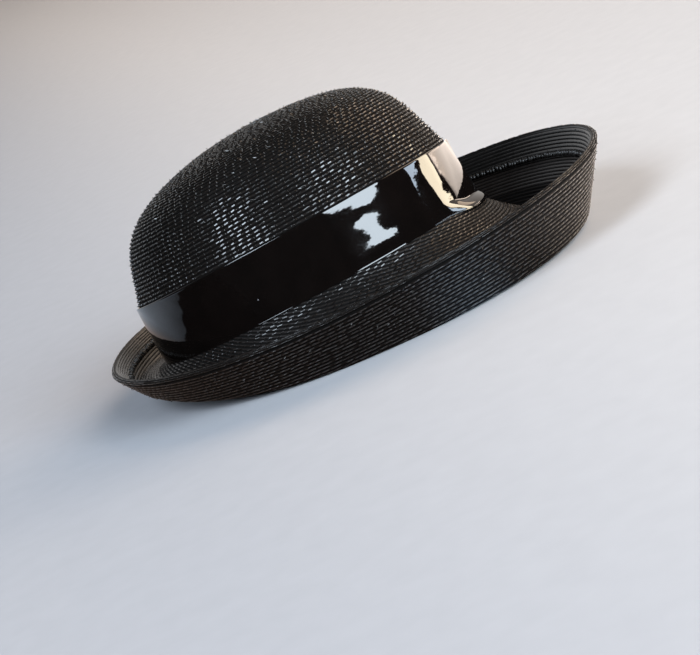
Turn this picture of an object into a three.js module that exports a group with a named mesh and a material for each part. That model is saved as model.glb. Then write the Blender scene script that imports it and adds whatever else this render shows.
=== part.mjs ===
// A breton hat in sewn black straw: a domed crown, a brim that slopes down from
// the crown and turns up all round, a straw facing folded in over the brim's edge
// and a patent band with a flared skirt.
// Millimetres and degrees. +Z is up and z = 0 is the surface that the hat rests on.
// The front is -Y and the wearer's right is -X. Angles run from the front (0) over
// the wearer's right (90) to the back (180).
import * as THREE from "three";

// Straw, patent and the clearance between pieces
const STRAW = 1.8;
const FACING = 1.4;
const PATENT = 1.1;
const GAP = 0.35;

// The rim's oval, seen from above
const RIM = { front: 166, back: 140, side: 140, squareness: 2.08 };
const RIM_CENTRE_Y = (RIM.front - RIM.back) / 2;

// The band's upper edge is an oval on the leaning crown
const BAND_TOP = { front: 99, back: 101.5, side: 85, squareness: 2.1 };
const BAND_TOP_CENTRE = new THREE.Vector3(0, 24.5, 63);
const LEAN_LEFT = 7.5;
const LEAN_BACK = 5.4;
const BAND_DROP = 32.5;
const BAND_EDGE_ROUNDING = 0.35;
const SKIRT_LENGTH = 5;

// The break is where the crown ends and the brim begins
const BREAK_DROP = 33.5;

// The crown's sections above the band's upper edge: its reach to the front and back
const CROWN_SECTIONS = [
  { height: 0, front: 97.2, back: 99.6 },
  { height: 8, front: 94.6, back: 97 },
  { height: 16, front: 92, back: 94.6 },
  { height: 23, front: 89.7, back: 92.2 },
  { height: 29, front: 87.2, back: 89.4 },
  { height: 34, front: 84.6, back: 86 },
  { height: 39, front: 81.4, back: 81.4 },
  { height: 43.5, front: 77, back: 75.6 },
  { height: 47.5, front: 71.8, back: 68.6 },
  { height: 51, front: 65.6, back: 60.4 },
  { height: 54, front: 58.2, back: 50.8 },
  { height: 56.8, front: 47.6, back: 39.4 },
  { height: 58.8, front: 35.2, back: 27.4 },
  { height: 60.2, front: 20.6, back: 13.2 },
];
const CROWN_TOP = { height: 60.8, forward: 4 };
const CROWN_SIDE_RATIO = 0.84;
const CROWN_SQUARENESS = 2.1;

// The brim's sections from front to back: the rim's height, how far the wall flares
// out above the turn, how far the turn lifts off the surface, how deep the shelf sags
// below a straight slope, and how deep the facing is
const BRIM_SECTIONS = [
  { angle: 0, rimHeight: 43.2, flare: 25.4, lift: 2.8, sag: 3.6, facing: 17.5 },
  { angle: 30, rimHeight: 41.4, flare: 26.6, lift: 1.5, sag: 3.4, facing: 17.5 },
  { angle: 60, rimHeight: 37, flare: 28.6, lift: 0, sag: 2.6, facing: 17.3 },
  { angle: 90, rimHeight: 32.4, flare: 29, lift: 0, sag: 1.8, facing: 16.6 },
  { angle: 120, rimHeight: 29.6, flare: 26, lift: 3.4, sag: 1.6, facing: 15 },
  { angle: 150, rimHeight: 28.6, flare: 18.4, lift: 10.2, sag: 1.3, facing: 12.6 },
  { angle: 180, rimHeight: 28.4, flare: 13.6, lift: 13.4, sag: 1, facing: 11.6 },
];
const TURN_RADIUS = 6;
const TURN_FLAT_ANGLE = 14;
const RIM_ROUNDING = 1.1;

// Facets
const AROUND = 72;
const SHELF_STEPS = 4;
const TURN_STEPS = 3;
const WALL_STEPS = 2;
const CROWN_WALL_STEPS = 2;

const STRAW_FINISH = { color: 0x141416, roughness: 0.42, metalness: 0 };
const FACING_FINISH = { color: 0x19191b, roughness: 0.45, metalness: 0 };
const PATENT_FINISH = { color: 0x0a0a0c, roughness: 0.08, metalness: 0 };

const rad = THREE.MathUtils.degToRad;
const lerp = THREE.MathUtils.lerp;

/** Distance from an oval's centre to its edge, at an angle from the front. */
function ovalReach({ front, back, side, squareness }, angle) {
  const along = Math.cos(angle);
  const across = Math.sin(angle);
  const length = along > 0 ? front : back;
  const sum = Math.abs(along / length) ** squareness + Math.abs(across / side) ** squareness;
  return sum ** (-1 / squareness);
}

/** Horizontal direction of an angle from the front. */
function outward(angle) {
  return new THREE.Vector3(-Math.sin(angle), -Math.cos(angle), 0);
}

/** The brim's measures at an angle, on a smooth curve through the sections' rows. */
function brimSectionAt(angle) {
  const last = BRIM_SECTIONS.length - 1;
  const step = BRIM_SECTIONS[1].angle;
  const turned = THREE.MathUtils.radToDeg(angle) % 360;
  const place = Math.min(turned, 360 - turned) / step;
  const low = Math.min(Math.floor(place), last - 1);
  const row = (i) => BRIM_SECTIONS[last - Math.abs(last - Math.abs(i))];
  const smooth = (column) => {
    const [a, b, c, d] = [-1, 0, 1, 2].map((i) => row(low + i)[column]);
    const t = place - low;
    const slopeB = (c - a) / 2;
    const slopeC = (d - b) / 2;
    const curve = 3 * (c - b) - 2 * slopeB - slopeC;
    const twist = 2 * (b - c) + slopeB + slopeC;
    return b + t * (slopeB + t * (curve + t * twist));
  };
  return {
    rimHeight: smooth("rimHeight"),
    flare: smooth("flare"),
    lift: Math.max(smooth("lift"), 0),
    sag: smooth("sag"),
    facing: smooth("facing"),
  };
}

/** A closed ring whose section is drawn by sectionAt(angle) as a loop of points. */
function ringGeometry(sectionAt) {
  const loops = [];
  for (let i = 0; i < AROUND; i += 1) {
    loops.push(sectionAt((2 * Math.PI * i) / AROUND));
  }
  const size = loops[0].length;
  const index = [];
  for (let i = 0; i < AROUND; i += 1) {
    const here = i * size;
    const next = ((i + 1) % AROUND) * size;
    for (let j = 0; j < size; j += 1) {
      const k = (j + 1) % size;
      index.push(here + j, next + j, next + k, here + j, next + k, here + k);
    }
  }
  return geometryOf(loops.flat(), index);
}

/** A closed cup: rings of points from one pole to another, with a fan at each pole. */
function cupGeometry(outerPole, rings, innerPole) {
  const points = rings.flat();
  const index = [];
  const outer = points.push(outerPole) - 1;
  const inner = points.push(innerPole) - 1;
  const lastRing = (rings.length - 1) * AROUND;
  for (let i = 0; i < AROUND; i += 1) {
    const next = (i + 1) % AROUND;
    index.push(outer, next, i);
    index.push(inner, lastRing + i, lastRing + next);
    for (let ring = 0; ring < rings.length - 1; ring += 1) {
      const here = ring * AROUND;
      const below = here + AROUND;
      index.push(here + i, here + next, below + next, here + i, below + next, below + i);
    }
  }
  return geometryOf(points, index);
}

/** An indexed geometry with its faces turned outwards. */
function geometryOf(points, index) {
  const volume = index.reduce((sum, _, i) => {
    if (i % 3 !== 0) return sum;
    const [a, b, c] = [0, 1, 2].map((corner) => points[index[i + corner]]);
    return sum + a.dot(new THREE.Vector3().crossVectors(b, c));
  }, 0);
  const geometry = new THREE.BufferGeometry().setFromPoints(points);
  geometry.setIndex(volume < 0 ? index.reverse() : index);
  geometry.computeVertexNormals();
  return geometry;
}

/** A named mesh with a finish of its own. */
function meshOf(name, geometry, finish) {
  const mesh = new THREE.Mesh(geometry, new THREE.MeshStandardMaterial(finish));
  mesh.name = name;
  return mesh;
}

/** The crown and its band lean to the left and back above the level brim. */
function leaningGroup() {
  const group = new THREE.Group();
  group.position.copy(BAND_TOP_CENTRE);
  group.rotation.set(rad(-LEAN_BACK), rad(LEAN_LEFT), 0, "YXZ");
  group.updateMatrix();
  return group;
}

const leaning = leaningGroup();

/** Reach of the crown's outer face under the band. */
function crownWallReach(angle) {
  return ovalReach(BAND_TOP, angle) - PATENT - GAP;
}

/** A point on the leaning crown, by angle, reach and height above the band's edge. */
function crownPoint(angle, reach, height) {
  return outward(angle).multiplyScalar(reach).setZ(height);
}

/** One ring of the crown's wall at a section, moved in by a thickness. */
function crownRing({ height, front, back }, inset) {
  const side = ((front + back) / 2) * CROWN_SIDE_RATIO;
  const oval = {
    front: front - inset,
    back: back - inset,
    side: side - inset,
    squareness: CROWN_SQUARENESS,
  };
  return ringOf((angle) => crownPoint(angle, ovalReach(oval, angle), height));
}

/** The points of one ring. */
function ringOf(pointAt) {
  return Array.from({ length: AROUND }, (_, i) => pointAt((2 * Math.PI * i) / AROUND));
}

/** The crown: a dome over a straight wall, open underneath. */
function crownGeometry() {
  const dome = CROWN_SECTIONS.slice(1).reverse();
  const outer = dome.map((section) => crownRing(section, 0));
  const inner = CROWN_SECTIONS.slice(1).map((section) => insideSection(section));
  for (let step = 0; step <= CROWN_WALL_STEPS; step += 1) {
    const height = lerp(0, -BREAK_DROP, step / CROWN_WALL_STEPS);
    outer.push(ringOf((angle) => crownPoint(angle, crownWallReach(angle), height)));
  }
  const wall = [];
  for (let step = 0; step <= CROWN_WALL_STEPS; step += 1) {
    const height = lerp(-BREAK_DROP, 0, step / CROWN_WALL_STEPS);
    wall.push(ringOf((angle) => crownPoint(angle, crownWallReach(angle) - STRAW, height)));
  }
  const { height, forward } = CROWN_TOP;
  const top = new THREE.Vector3(0, -forward, height);
  const under = new THREE.Vector3(0, -forward, height - STRAW);
  return cupGeometry(top, [...outer, ...wall, ...inner], under);
}

/** The crown's inner ring that lies one thickness inside the outer dome. */
function insideSection(section) {
  const i = CROWN_SECTIONS.indexOf(section);
  const above = CROWN_SECTIONS[i + 1] ?? { height: CROWN_TOP.height, front: 0, back: 0 };
  const below = CROWN_SECTIONS[i - 1];
  const rise = above.height - below.height;
  const run = (below.front + below.back - above.front - above.back) / 2;
  const slant = Math.hypot(rise, run);
  const lowered = { ...section, height: section.height - (STRAW * run) / slant };
  return crownRing(lowered, (STRAW * rise) / slant);
}

/** The brim's section at an angle, in a vertical plane from the break to the rim. */
class BrimSection {
  constructor(angle) {
    const { rimHeight, flare, lift, sag, facing } = brimSectionAt(angle);
    this.sag = sag;
    this.facing = facing;
    this.start = this.breakPoint(angle);
    const rim = outward(angle).multiplyScalar(ovalReach(RIM, angle));
    rim.y += RIM_CENTRE_Y;
    const across = rim.clone().sub(this.start).setZ(0);
    this.direction = across.clone().normalize();
    this.inner = new THREE.Vector2(0, this.start.z);
    this.rim = new THREE.Vector2(across.length(), rimHeight);
    const flat = TURN_RADIUS * Math.cos(rad(TURN_FLAT_ANGLE));
    this.turn = new THREE.Vector2(this.rim.x - flare, lift + flat);
    this.shelfAngle = this.contactAngle(this.inner, 1);
    this.wallAngle = this.contactAngle(this.rim, -1);
  }

  /** Where the brim starts, under the middle of the crown's wall. */
  breakPoint(angle) {
    const reach = crownWallReach(angle) - STRAW / 2;
    const drop = -BREAK_DROP - GAP - STRAW;
    return crownPoint(angle, reach, drop).applyMatrix4(leaning.matrix);
  }

  /** Angle on the turn's circle where a line from a point meets it. */
  contactAngle(point, side) {
    const away = point.clone().sub(this.turn);
    return away.angle() + side * Math.acos(TURN_RADIUS / away.length());
  }

  /** A place across and up in the section, as a point of the hat. */
  place(flat) {
    const point = this.start.clone().addScaledVector(this.direction, flat.x);
    return point.setZ(flat.y);
  }

  /** A point of the turn at an angle, moved in from the outer face. */
  turnPoint(angle, inset) {
    const reach = TURN_RADIUS - inset;
    return new THREE.Vector2(Math.cos(angle), Math.sin(angle)).multiplyScalar(reach).add(this.turn);
  }

  /** A point of the shelf from the break (0) to the turn (1), moved up by a thickness. */
  shelfPoint(t, inset) {
    const end = this.turnPoint(this.shelfAngle, 0);
    const chord = end.clone().sub(this.inner);
    const normal = new THREE.Vector2(-chord.y, chord.x).normalize();
    const bow = 4 * this.sag * t * (1 - t);
    const point = this.inner.clone().addScaledVector(chord, t);
    const slope = (4 * this.sag * (1 - 2 * t)) / chord.length();
    const raised = normal.clone().addScaledVector(chord.normalize(), slope).normalize();
    return point.addScaledVector(normal, -bow).addScaledVector(raised, inset);
  }

  /** A point of the wall: distance below the rim, and distance in from the outer face. */
  wallPoint(below, inset) {
    const start = this.turnPoint(this.wallAngle, 0);
    const up = this.rim.clone().sub(start).normalize();
    const normal = new THREE.Vector2(-up.y, up.x);
    return this.rim.clone().addScaledVector(up, -below).addScaledVector(normal, inset);
  }

  /** Length of the straight wall from the turn to the rim. */
  wallLength() {
    return this.rim.distanceTo(this.turnPoint(this.wallAngle, 0));
  }

  /** One face of the brim's wall, from the break to the rim. */
  face(inset) {
    const points = [];
    for (let i = 0; i < SHELF_STEPS; i += 1) {
      points.push(this.shelfPoint(i / SHELF_STEPS, inset));
    }
    const down = rad(270);
    const flat = rad(TURN_FLAT_ANGLE);
    const shelfAngle = THREE.MathUtils.euclideanModulo(this.shelfAngle, 2 * Math.PI);
    const wallAngle = THREE.MathUtils.euclideanModulo(this.wallAngle, 2 * Math.PI);
    const arcs = [
      [shelfAngle, down - flat],
      [down + flat, wallAngle],
    ];
    for (const [from, to] of arcs) {
      for (let i = 0; i <= TURN_STEPS; i += 1) {
        points.push(this.turnPoint(lerp(from, to, i / TURN_STEPS), inset));
      }
    }
    const top = FACING + GAP;
    for (let i = 1; i <= WALL_STEPS; i += 1) {
      points.push(this.wallPoint(lerp(this.wallLength(), top, i / WALL_STEPS), inset));
    }
    return points.map((flatPoint) => this.place(flatPoint));
  }

  /** The whole loop of the brim's section. */
  brimLoop() {
    return [...this.face(0), ...this.face(STRAW).reverse()];
  }

  /** The facing's loop: folded over the rim and down the wall's inner face. */
  facingLoop() {
    const back = STRAW + GAP;
    const front = back + FACING;
    const half = front / 2;
    const flats = [
      this.wallPoint(FACING, 0),
      this.wallPoint(FACING, back),
      this.wallPoint(this.facing / 2, back),
      this.wallPoint(this.facing, back),
      this.wallPoint(this.facing, front),
      this.wallPoint(this.facing / 2, front),
      this.wallPoint(RIM_ROUNDING, front),
      this.wallPoint(0, half + RIM_ROUNDING / 2),
      this.wallPoint(0, half - RIM_ROUNDING / 2),
      this.wallPoint(RIM_ROUNDING, 0),
    ];
    return flats.map((flat) => this.place(flat));
  }

  /** A point above the shelf's upper face, at a distance along it from the break. */
  overShelf(along, clearance) {
    const length = this.inner.distanceTo(this.turnPoint(this.shelfAngle, 0));
    return this.place(this.shelfPoint(along / length, STRAW + clearance));
  }
}

/** The band's loop at an angle: a straight strip with its skirt along the shelf. */
function bandLoop(angle) {
  const reach = ovalReach(BAND_TOP, angle);
  const inside = reach - PATENT;
  const toCrown = leaning.matrix.clone().invert();
  const section = new BrimSection(angle);
  const skirt = (clearance) => section.overShelf(SKIRT_LENGTH, clearance).applyMatrix4(toCrown);
  return [
    crownPoint(angle, inside, 0),
    crownPoint(angle, inside, -BAND_DROP / 2),
    crownPoint(angle, inside, -BAND_DROP),
    skirt(GAP),
    skirt(GAP + PATENT),
    crownPoint(angle, reach, -BAND_DROP + PATENT),
    crownPoint(angle, reach, -BAND_DROP / 2),
    crownPoint(angle, reach, -BAND_EDGE_ROUNDING),
    crownPoint(angle, reach - BAND_EDGE_ROUNDING, 0),
  ];
}

const hat = new THREE.Group();
leaning.add(meshOf("crown", crownGeometry(), STRAW_FINISH));
leaning.add(meshOf("hat_band", ringGeometry(bandLoop), PATENT_FINISH));
hat.add(leaning);
hat.add(
  meshOf("brim", ringGeometry((angle) => new BrimSection(angle).brimLoop()), STRAW_FINISH),
);
hat.add(
  meshOf(
    "brim_facing",
    ringGeometry((angle) => new BrimSection(angle).facingLoop()),
    FACING_FINISH,
  ),
);

export default hat;
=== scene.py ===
"""Looks of a breton hat: black sewn straw with a patent band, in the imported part's frame.

Blender works in metres. The hat's classes keep their sizes in millimetres and degrees; the
finishes, the floor and the light panels are in metres.
The front is -Y, the wearer's right is -X, and z = 0 is the surface that the hat rests on.
Angles run from the front (0) over the wearer's right (90) to the back (180).
"""

import logging
import math
from dataclasses import dataclass, field
from enum import Enum
from typing import Any, ClassVar, Optional

import bpy
import numpy as np
from mathutils import Matrix, Vector


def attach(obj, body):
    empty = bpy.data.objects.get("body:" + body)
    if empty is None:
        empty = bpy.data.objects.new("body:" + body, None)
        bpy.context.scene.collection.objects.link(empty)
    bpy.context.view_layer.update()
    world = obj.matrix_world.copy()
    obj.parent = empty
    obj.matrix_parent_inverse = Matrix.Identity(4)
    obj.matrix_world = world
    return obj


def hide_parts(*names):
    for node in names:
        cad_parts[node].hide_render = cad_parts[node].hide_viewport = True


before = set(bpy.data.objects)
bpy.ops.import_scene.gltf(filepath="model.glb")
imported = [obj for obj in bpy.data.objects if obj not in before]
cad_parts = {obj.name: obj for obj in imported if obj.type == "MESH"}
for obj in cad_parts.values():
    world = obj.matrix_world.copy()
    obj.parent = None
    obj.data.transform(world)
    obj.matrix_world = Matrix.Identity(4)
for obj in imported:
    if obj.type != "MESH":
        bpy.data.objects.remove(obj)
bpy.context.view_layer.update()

LOG = logging.getLogger("breton_hat")
Array = np.ndarray
Socket = bpy.types.NodeSocket
Colour = tuple[float, float, float]
Span = tuple[float, float]
MM = 0.001
TINY = 1e-12
TURN = 2 * math.pi
STRAIGHT_DOWN = 1.5 * math.pi

# Rows of braid are laid out flat in centimetres, and each point has a shade from 0 to 1.
ROWS_UV = "rows"
LAYOUT_UNIT = 10.0
SHADE = "shade"
# Faces under BED_SHADE are the bed below the strands, whose ridges have RIDGE_SHADE.
# The bed's valleys are painted near-black: painted shade between the strands.
BED_SHADE = 0.03
RIDGE_SHADE = 0.02
RIDGE_RISE = 0.2


class Node(Enum):
    """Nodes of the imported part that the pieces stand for."""

    CROWN = "crown"
    BRIM = "brim"
    FACING = "brim_facing"
    BAND = "hat_band"


class Slot(Enum):
    """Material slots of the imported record."""

    STRAW = "straw"
    FACING = "facing_straw"
    PATENT = "patent"


class StrandShape(Enum):
    """Shapes of a strand, by its sides and by the bands of faces from end to end."""

    FLAT = (4, 3)
    ROUND = (5, 3)
    BEAD = (4, 2)


class Overlap(Enum):
    """Which edge of a sewn row lies on top of its neighbour."""

    FAR_EDGE = 1
    NEAR_EDGE = -1


# Shared measures


@dataclass(frozen=True)
class Walls:
    """Thicknesses of the hat's walls and the clearance between its pieces."""

    straw: float = 1.8
    facing: float = 1.4
    patent: float = 1.1
    gap: float = 0.35

    @property
    def fold(self) -> float:
        """Thickness of the brim and its facing together."""
        return self.straw + self.gap + self.facing


@dataclass(frozen=True)
class Oval:
    """An oval seen from above, longer at the front or at the back."""

    front: float
    back: float
    side: float
    squareness: float

    def reach(self, angle: Array) -> Array:
        """Distance from the centre to the edge.

        Args:
            angle: Angles from the front.

        Returns:
            The distance at each angle.
        """
        length = np.where(np.cos(angle) > 0, self.front, self.back)
        along = np.abs(np.cos(angle) / length) ** self.squareness
        across = np.abs(np.sin(angle) / self.side) ** self.squareness
        return (along + across) ** (-1 / self.squareness)


@dataclass(frozen=True)
class Lean:
    """The crown and its band lean to the left and back above the level brim."""

    centre: tuple[float, float, float] = (0.0, 24.5, 63.0)
    left: float = 7.5
    back: float = 5.4

    def turn(self) -> Array:
        """Rotation from the crown's own axes to the hat's."""
        left, back = math.radians(self.left), math.radians(-self.back)
        return np.array(Matrix.Rotation(left, 3, "Y") @ Matrix.Rotation(back, 3, "X"))

    def to_hat(self, points: Array) -> Array:
        """Points on the crown's own axes as points of the hat."""
        return points @ self.turn().T + np.array(self.centre)

    def to_crown(self, points: Array) -> Array:
        """Points of the hat on the crown's own axes."""
        return (points - np.array(self.centre)) @ self.turn()


WALLS = Walls()
LEAN = Lean()
BAND_TOP = Oval(front=99.0, back=101.5, side=85.0, squareness=2.1)
# From the band's upper edge down to the break between crown and brim
BREAK_DROP = 33.5


def all_round(columns: int) -> Array:
    """Angles from the front all round to the front again."""
    return np.linspace(0, TURN, columns + 1)


def outward(angle: Array) -> Array:
    """Horizontal directions of angles from the front."""
    return np.stack([-np.sin(angle), -np.cos(angle), np.zeros_like(angle)], axis=-1)


def ring_points(angle: Array, reach: Array, height: Array) -> Array:
    """Points round an axis.

    Args:
        angle: Angles from the front.
        reach: Distances from the axis.
        height: Heights on the axis.

    Returns:
        The points.
    """
    place = outward(angle) * np.asarray(reach)[..., None]
    place[..., 2] = height
    return place


def unit(vectors: Array) -> Array:
    """The vectors at length 1."""
    return vectors / np.maximum(np.linalg.norm(vectors, axis=-1, keepdims=True), TINY)


def travelled(points: Array) -> Array:
    """Distances along a line of points, from its first one."""
    steps = np.linalg.norm(np.diff(points, axis=0), axis=1)
    return np.concatenate([[0.0], np.cumsum(steps)])


def smooth_through(x: Array, xs: Array, ys: Array) -> Array:
    """A smooth curve through a short table.

    Args:
        x: Where the curve is wanted.
        xs: The table's places, rising.
        ys: The table's values.

    Returns:
        The curve's values at x.
    """
    slopes = np.gradient(ys, xs)
    low = np.clip(np.searchsorted(xs, x, side="right") - 1, 0, len(xs) - 2)
    step = xs[low + 1] - xs[low]
    t = (x - xs[low]) / step
    rise = ys[low + 1] - ys[low]
    first, last = slopes[low] * step, slopes[low + 1] * step
    curve = 3 * rise - 2 * first - last
    twist = first + last - 2 * rise
    return ys[low] + t * (first + t * (curve + t * twist))


# Sewn rows


@dataclass(frozen=True)
class RowRelief:
    """How a row of braid rises to the edge that lies on top, as steps across the row."""

    places: tuple[float, ...]
    rises: tuple[float, ...]

    def steps(self, overlap: Overlap) -> list[tuple[float, float]]:
        """Places across a row and their rises, in order.

        Args:
            overlap: Which edge lies on top.

        Returns:
            Pairs of place, from 0 to 1, and rise in millimetres.
        """
        pairs = list(zip(self.places, self.rises))
        if overlap is Overlap.FAR_EDGE:
            return pairs
        return [(1 - place, rise) for place, rise in reversed(pairs)]


class RowSurface:
    """A surface that rows of braid run round, with strands all over that follow it."""

    def point(self, down: Array, angle: Array, offset: Array) -> Array:
        """Points by distance down the rows, angle and distance off the face."""
        raise NotImplementedError

    def shown(self, down: Array, angle: Array) -> Array:
        """Where strands are laid."""
        return np.full(down.shape, True)

    def lift(self, down: Array, angle: Array) -> Array:
        """How far strands are tipped towards level, in degrees."""
        return np.zeros_like(angle)


@dataclass(frozen=True)
class Strand:
    """One kind of straw strand that shows in a row of braid.

    Attributes:
        period: Distance from one strand to the next along the row.
        length: Length of a strand.
        width: Width across the row.
        height: Thickness off the face.
        place: Where across the row it lies, from 0 to 1.
        offset: How far its middle lies off the face.
        scatter: How unevenly strands are turned, in degrees.
        slant: How far it turns from the row's direction, in degrees.
        stray: Share of strands whose end stands off the face.
        stray_tilt: Least and greatest tilt of those strands, in degrees.
        shift: Where along the period the first one lies.
        advance: How far each row is shifted against the one above it, in periods.
        shade: Least and greatest shade of a strand; a higher one is duller.
    """

    period: float
    length: float
    width: float
    height: float
    place: float
    offset: float
    scatter: float
    slant: float = 0.0
    stray: float = 0.0
    stray_tilt: Span = (9.0, 20.0)
    shift: float = 0.0
    advance: float = 0.5
    shade: Span = (0.15, 1.0)


@dataclass(frozen=True)
class Unevenness:
    """How unevenly rows are laid by hand, whatever the kind of strand.

    Attributes:
        start: Greatest shift of a whole row, in periods.
        along: Spread of the places along a row, in periods.
        across: Spread of the places across a row, in row widths.
        roll: Spread of the turns about a strand's length, in scatters.
        tilt: Spread of the tilts off the face, in scatters.
        size: Spread of the sizes.
        sizes: Least and greatest size.
    """

    start: float = 0.14
    along: float = 0.12
    across: float = 0.04
    roll: float = 2.2
    tilt: float = 0.6
    size: float = 0.1
    sizes: Span = (0.75, 1.3)


UNEVEN = Unevenness()
STRAW_END = Strand(
    period=30.0, length=2.8, width=0.3, height=0.3, place=0.5, offset=0.1,
    scatter=12.0, stray=1.0, stray_tilt=(16.0, 46.0), shade=(0.8, 1.0),
)


@dataclass
class StrandBatch:
    """Strands that become one mesh.

    Attributes:
        rows: For each row its strands' middles, axes, half sizes, places on the rows and shades.
    """

    rows: list[tuple[Array, ...]] = field(default_factory=list)
    ring_steps: ClassVar[int] = 720
    least_count: ClassVar[int] = 3
    layout_radius: ClassVar[float] = 80.0

    def lay_row(
        self, surface: RowSurface, row: int, pitch: float, strand: Strand, rng: np.random.Generator
    ) -> None:
        """Lays one row of strands round a surface.

        Args:
            surface: What they lie on.
            row: The row's number, counted down.
            pitch: The row's width.
            strand: The kind of strand.
            rng: Source of the unevenness.
        """
        down = (row + strand.place) * pitch
        fine = all_round(self.ring_steps) + TURN / 4
        travel = travelled(surface.point(np.full_like(fine, down), fine, np.zeros_like(fine)))
        count = max(int(round(travel[-1] / strand.period)), self.least_count)
        stagger = strand.shift + strand.advance * row + rng.uniform(-UNEVEN.start, UNEVEN.start)
        along = (np.arange(count) + stagger + rng.normal(0, UNEVEN.along, count)) / count
        angle = np.interp((along % 1.0) * travel[-1], travel, fine)
        downs = down + rng.normal(0, UNEVEN.across * pitch, count)
        kept = surface.shown(downs, angle)
        angle, downs = angle[kept], downs[kept]
        total = len(angle)
        if total == 0:
            return
        place, run, off = surface_axes(surface, downs, angle, strand.offset)
        run, fall, off = levelled(run, off, np.radians(surface.lift(downs, angle)))
        yaw = np.radians(strand.slant + rng.normal(0, strand.scatter, total))
        roll = np.radians(rng.normal(0, UNEVEN.roll * strand.scatter, total))
        tilt = np.radians(rng.normal(0, UNEVEN.tilt * strand.scatter, total))
        strays = rng.random(total) < strand.stray
        tilt = np.where(strays, np.radians(rng.uniform(*strand.stray_tilt, total)), tilt)
        run, fall = turned(run, fall, yaw)
        run, off = turned(run, off, tilt)
        fall, off = turned(fall, off, roll)
        half = np.array([strand.length, strand.width, strand.height]) / 2
        sizes = half * rng.normal(1, UNEVEN.size, (total, 3)).clip(*UNEVEN.sizes)
        marks = np.stack([angle * self.layout_radius, downs], axis=1)
        shades = rng.uniform(*strand.shade, total)
        self.rows.append((place, np.stack([run, fall, off], axis=1), sizes, marks, shades))

    def to_object(self, name: str, shape: StrandShape) -> bpy.types.Object:
        """Joins the strands into one mesh.

        Args:
            name: Name of the new object.
            shape: Shape of a strand.

        Returns:
            The new object.
        """
        points, faces = grain_template(shape)
        centres, axes, sizes, marks, shades = (np.concatenate(part) for part in zip(*self.rows))
        local = points[None, :, :] * sizes[:, None, :]
        placed = centres[:, None, :] + np.einsum("nvk,nkc->nvc", local, axes)
        count, size = len(centres), len(points)
        corners = np.concatenate([np.array(face) for face in faces])
        corners = (corners[None, :] + np.arange(count)[:, None] * size).ravel()
        lengths = np.tile([len(face) for face in faces], count)
        mesh = bpy.data.meshes.new(name)
        mesh.vertices.add(count * size)
        mesh.vertices.foreach_set("co", (placed * MM).ravel())
        mesh.loops.add(len(corners))
        mesh.loops.foreach_set("vertex_index", corners)
        mesh.polygons.add(len(lengths))
        mesh.polygons.foreach_set("loop_start", np.cumsum(lengths) - lengths)
        mesh.update(calc_edges=True)
        flat = (marks[:, None, :] + local[:, :, :2]).reshape(-1, 2)
        write_rows(mesh, flat, np.repeat(shades, size))
        made = bpy.data.objects.new(name, mesh)
        bpy.context.scene.collection.objects.link(made)
        activate(made)
        if shape is StrandShape.FLAT:
            bpy.ops.object.shade_flat()
        else:
            bpy.ops.object.shade_smooth()
        return made


def turned(first: Array, second: Array, angle: Array) -> tuple[Array, Array]:
    """Two square directions turned in their own plane by an angle each."""
    c, s = np.cos(angle)[:, None], np.sin(angle)[:, None]
    return first * c + second * s, second * c - first * s


def levelled(run: Array, off: Array, lift: Array) -> tuple[Array, Array, Array]:
    """Directions of strands that are tipped towards level.

    Args:
        run: Directions along the row.
        off: Directions off the face.
        lift: Angles by which the strands are tipped.

    Returns:
        New directions along the row, down the rows and off the face.
    """
    above = np.array([0.0, 0.0, 1.0]) - off * off[:, 2:]
    tipped = unit(off + unit(above) * np.tan(lift)[:, None])
    along = unit(run - tipped * np.sum(run * tipped, axis=1, keepdims=True))
    return along, np.cross(tipped, along), tipped


def surface_axes(
    surface: RowSurface, down: Array, angle: Array, offset: float
) -> tuple[Array, Array, Array]:
    """Points of a surface with the directions along a row and off the face.

    Args:
        surface: The surface.
        down: Distances down the rows.
        angle: Angles from the front.
        offset: Distance off the face.

    Returns:
        Points and two square unit directions for each.
    """
    small_turn, small_drop, small_rise = 2e-3, 0.1, 0.5
    off = np.full_like(angle, offset)
    place = surface.point(down, angle, off)
    ahead, behind = (surface.point(down, angle + step, off) for step in (small_turn, -small_turn))
    below, above = (surface.point(down + step, angle, off) for step in (small_drop, -small_drop))
    run = unit(ahead - behind)
    face = unit(np.cross(run, unit(below - above)))
    away = surface.point(down, angle, off + small_rise) - place
    return place, run, face * np.sign(np.sum(face * away, axis=1, keepdims=True))


def grain_template(shape: StrandShape) -> tuple[Array, list[list[int]]]:
    """A grain-shaped strand of unit half sizes, made once from a small sphere.

    Args:
        shape: Shape of the strand.

    Returns:
        Points as along, across and off the face, and the faces' corners.
    """
    bluntness = 0.5
    segments, rings = shape.value
    deselect()
    bpy.ops.mesh.primitive_uv_sphere_add(segments=segments, ring_count=rings, radius=1.0)
    made = bpy.context.active_object
    points = np.array([vertex.co for vertex in made.data.vertices])
    faces = [list(polygon.vertices) for polygon in made.data.polygons]
    bpy.ops.object.delete()
    along = points[:, 2]
    first = points[int(np.argmin(np.abs(along)))]
    turn = math.pi / segments - math.atan2(first[1], first[0])
    off = points[:, 0] * math.cos(turn) - points[:, 1] * math.sin(turn)
    across = points[:, 0] * math.sin(turn) + points[:, 1] * math.cos(turn)
    along, across, off = along / along.max(), across / across.max(), off / off.max()
    if shape is not StrandShape.BEAD:
        along = np.sign(along) * np.abs(along) ** bluntness
    return np.stack([along, across, off], axis=1), [face[::-1] for face in faces]


# Modelling helpers


def deselect() -> None:
    """Leaves nothing selected, in object mode."""
    if bpy.context.object and bpy.context.object.mode != "OBJECT":
        bpy.ops.object.mode_set(mode="OBJECT")
    bpy.ops.object.select_all(action="DESELECT")


def activate(thing: bpy.types.Object) -> None:
    """Selects one object alone and makes it the active one.

    Args:
        thing: The object.
    """
    deselect()
    thing.select_set(True)
    bpy.context.view_layer.objects.active = thing


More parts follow.
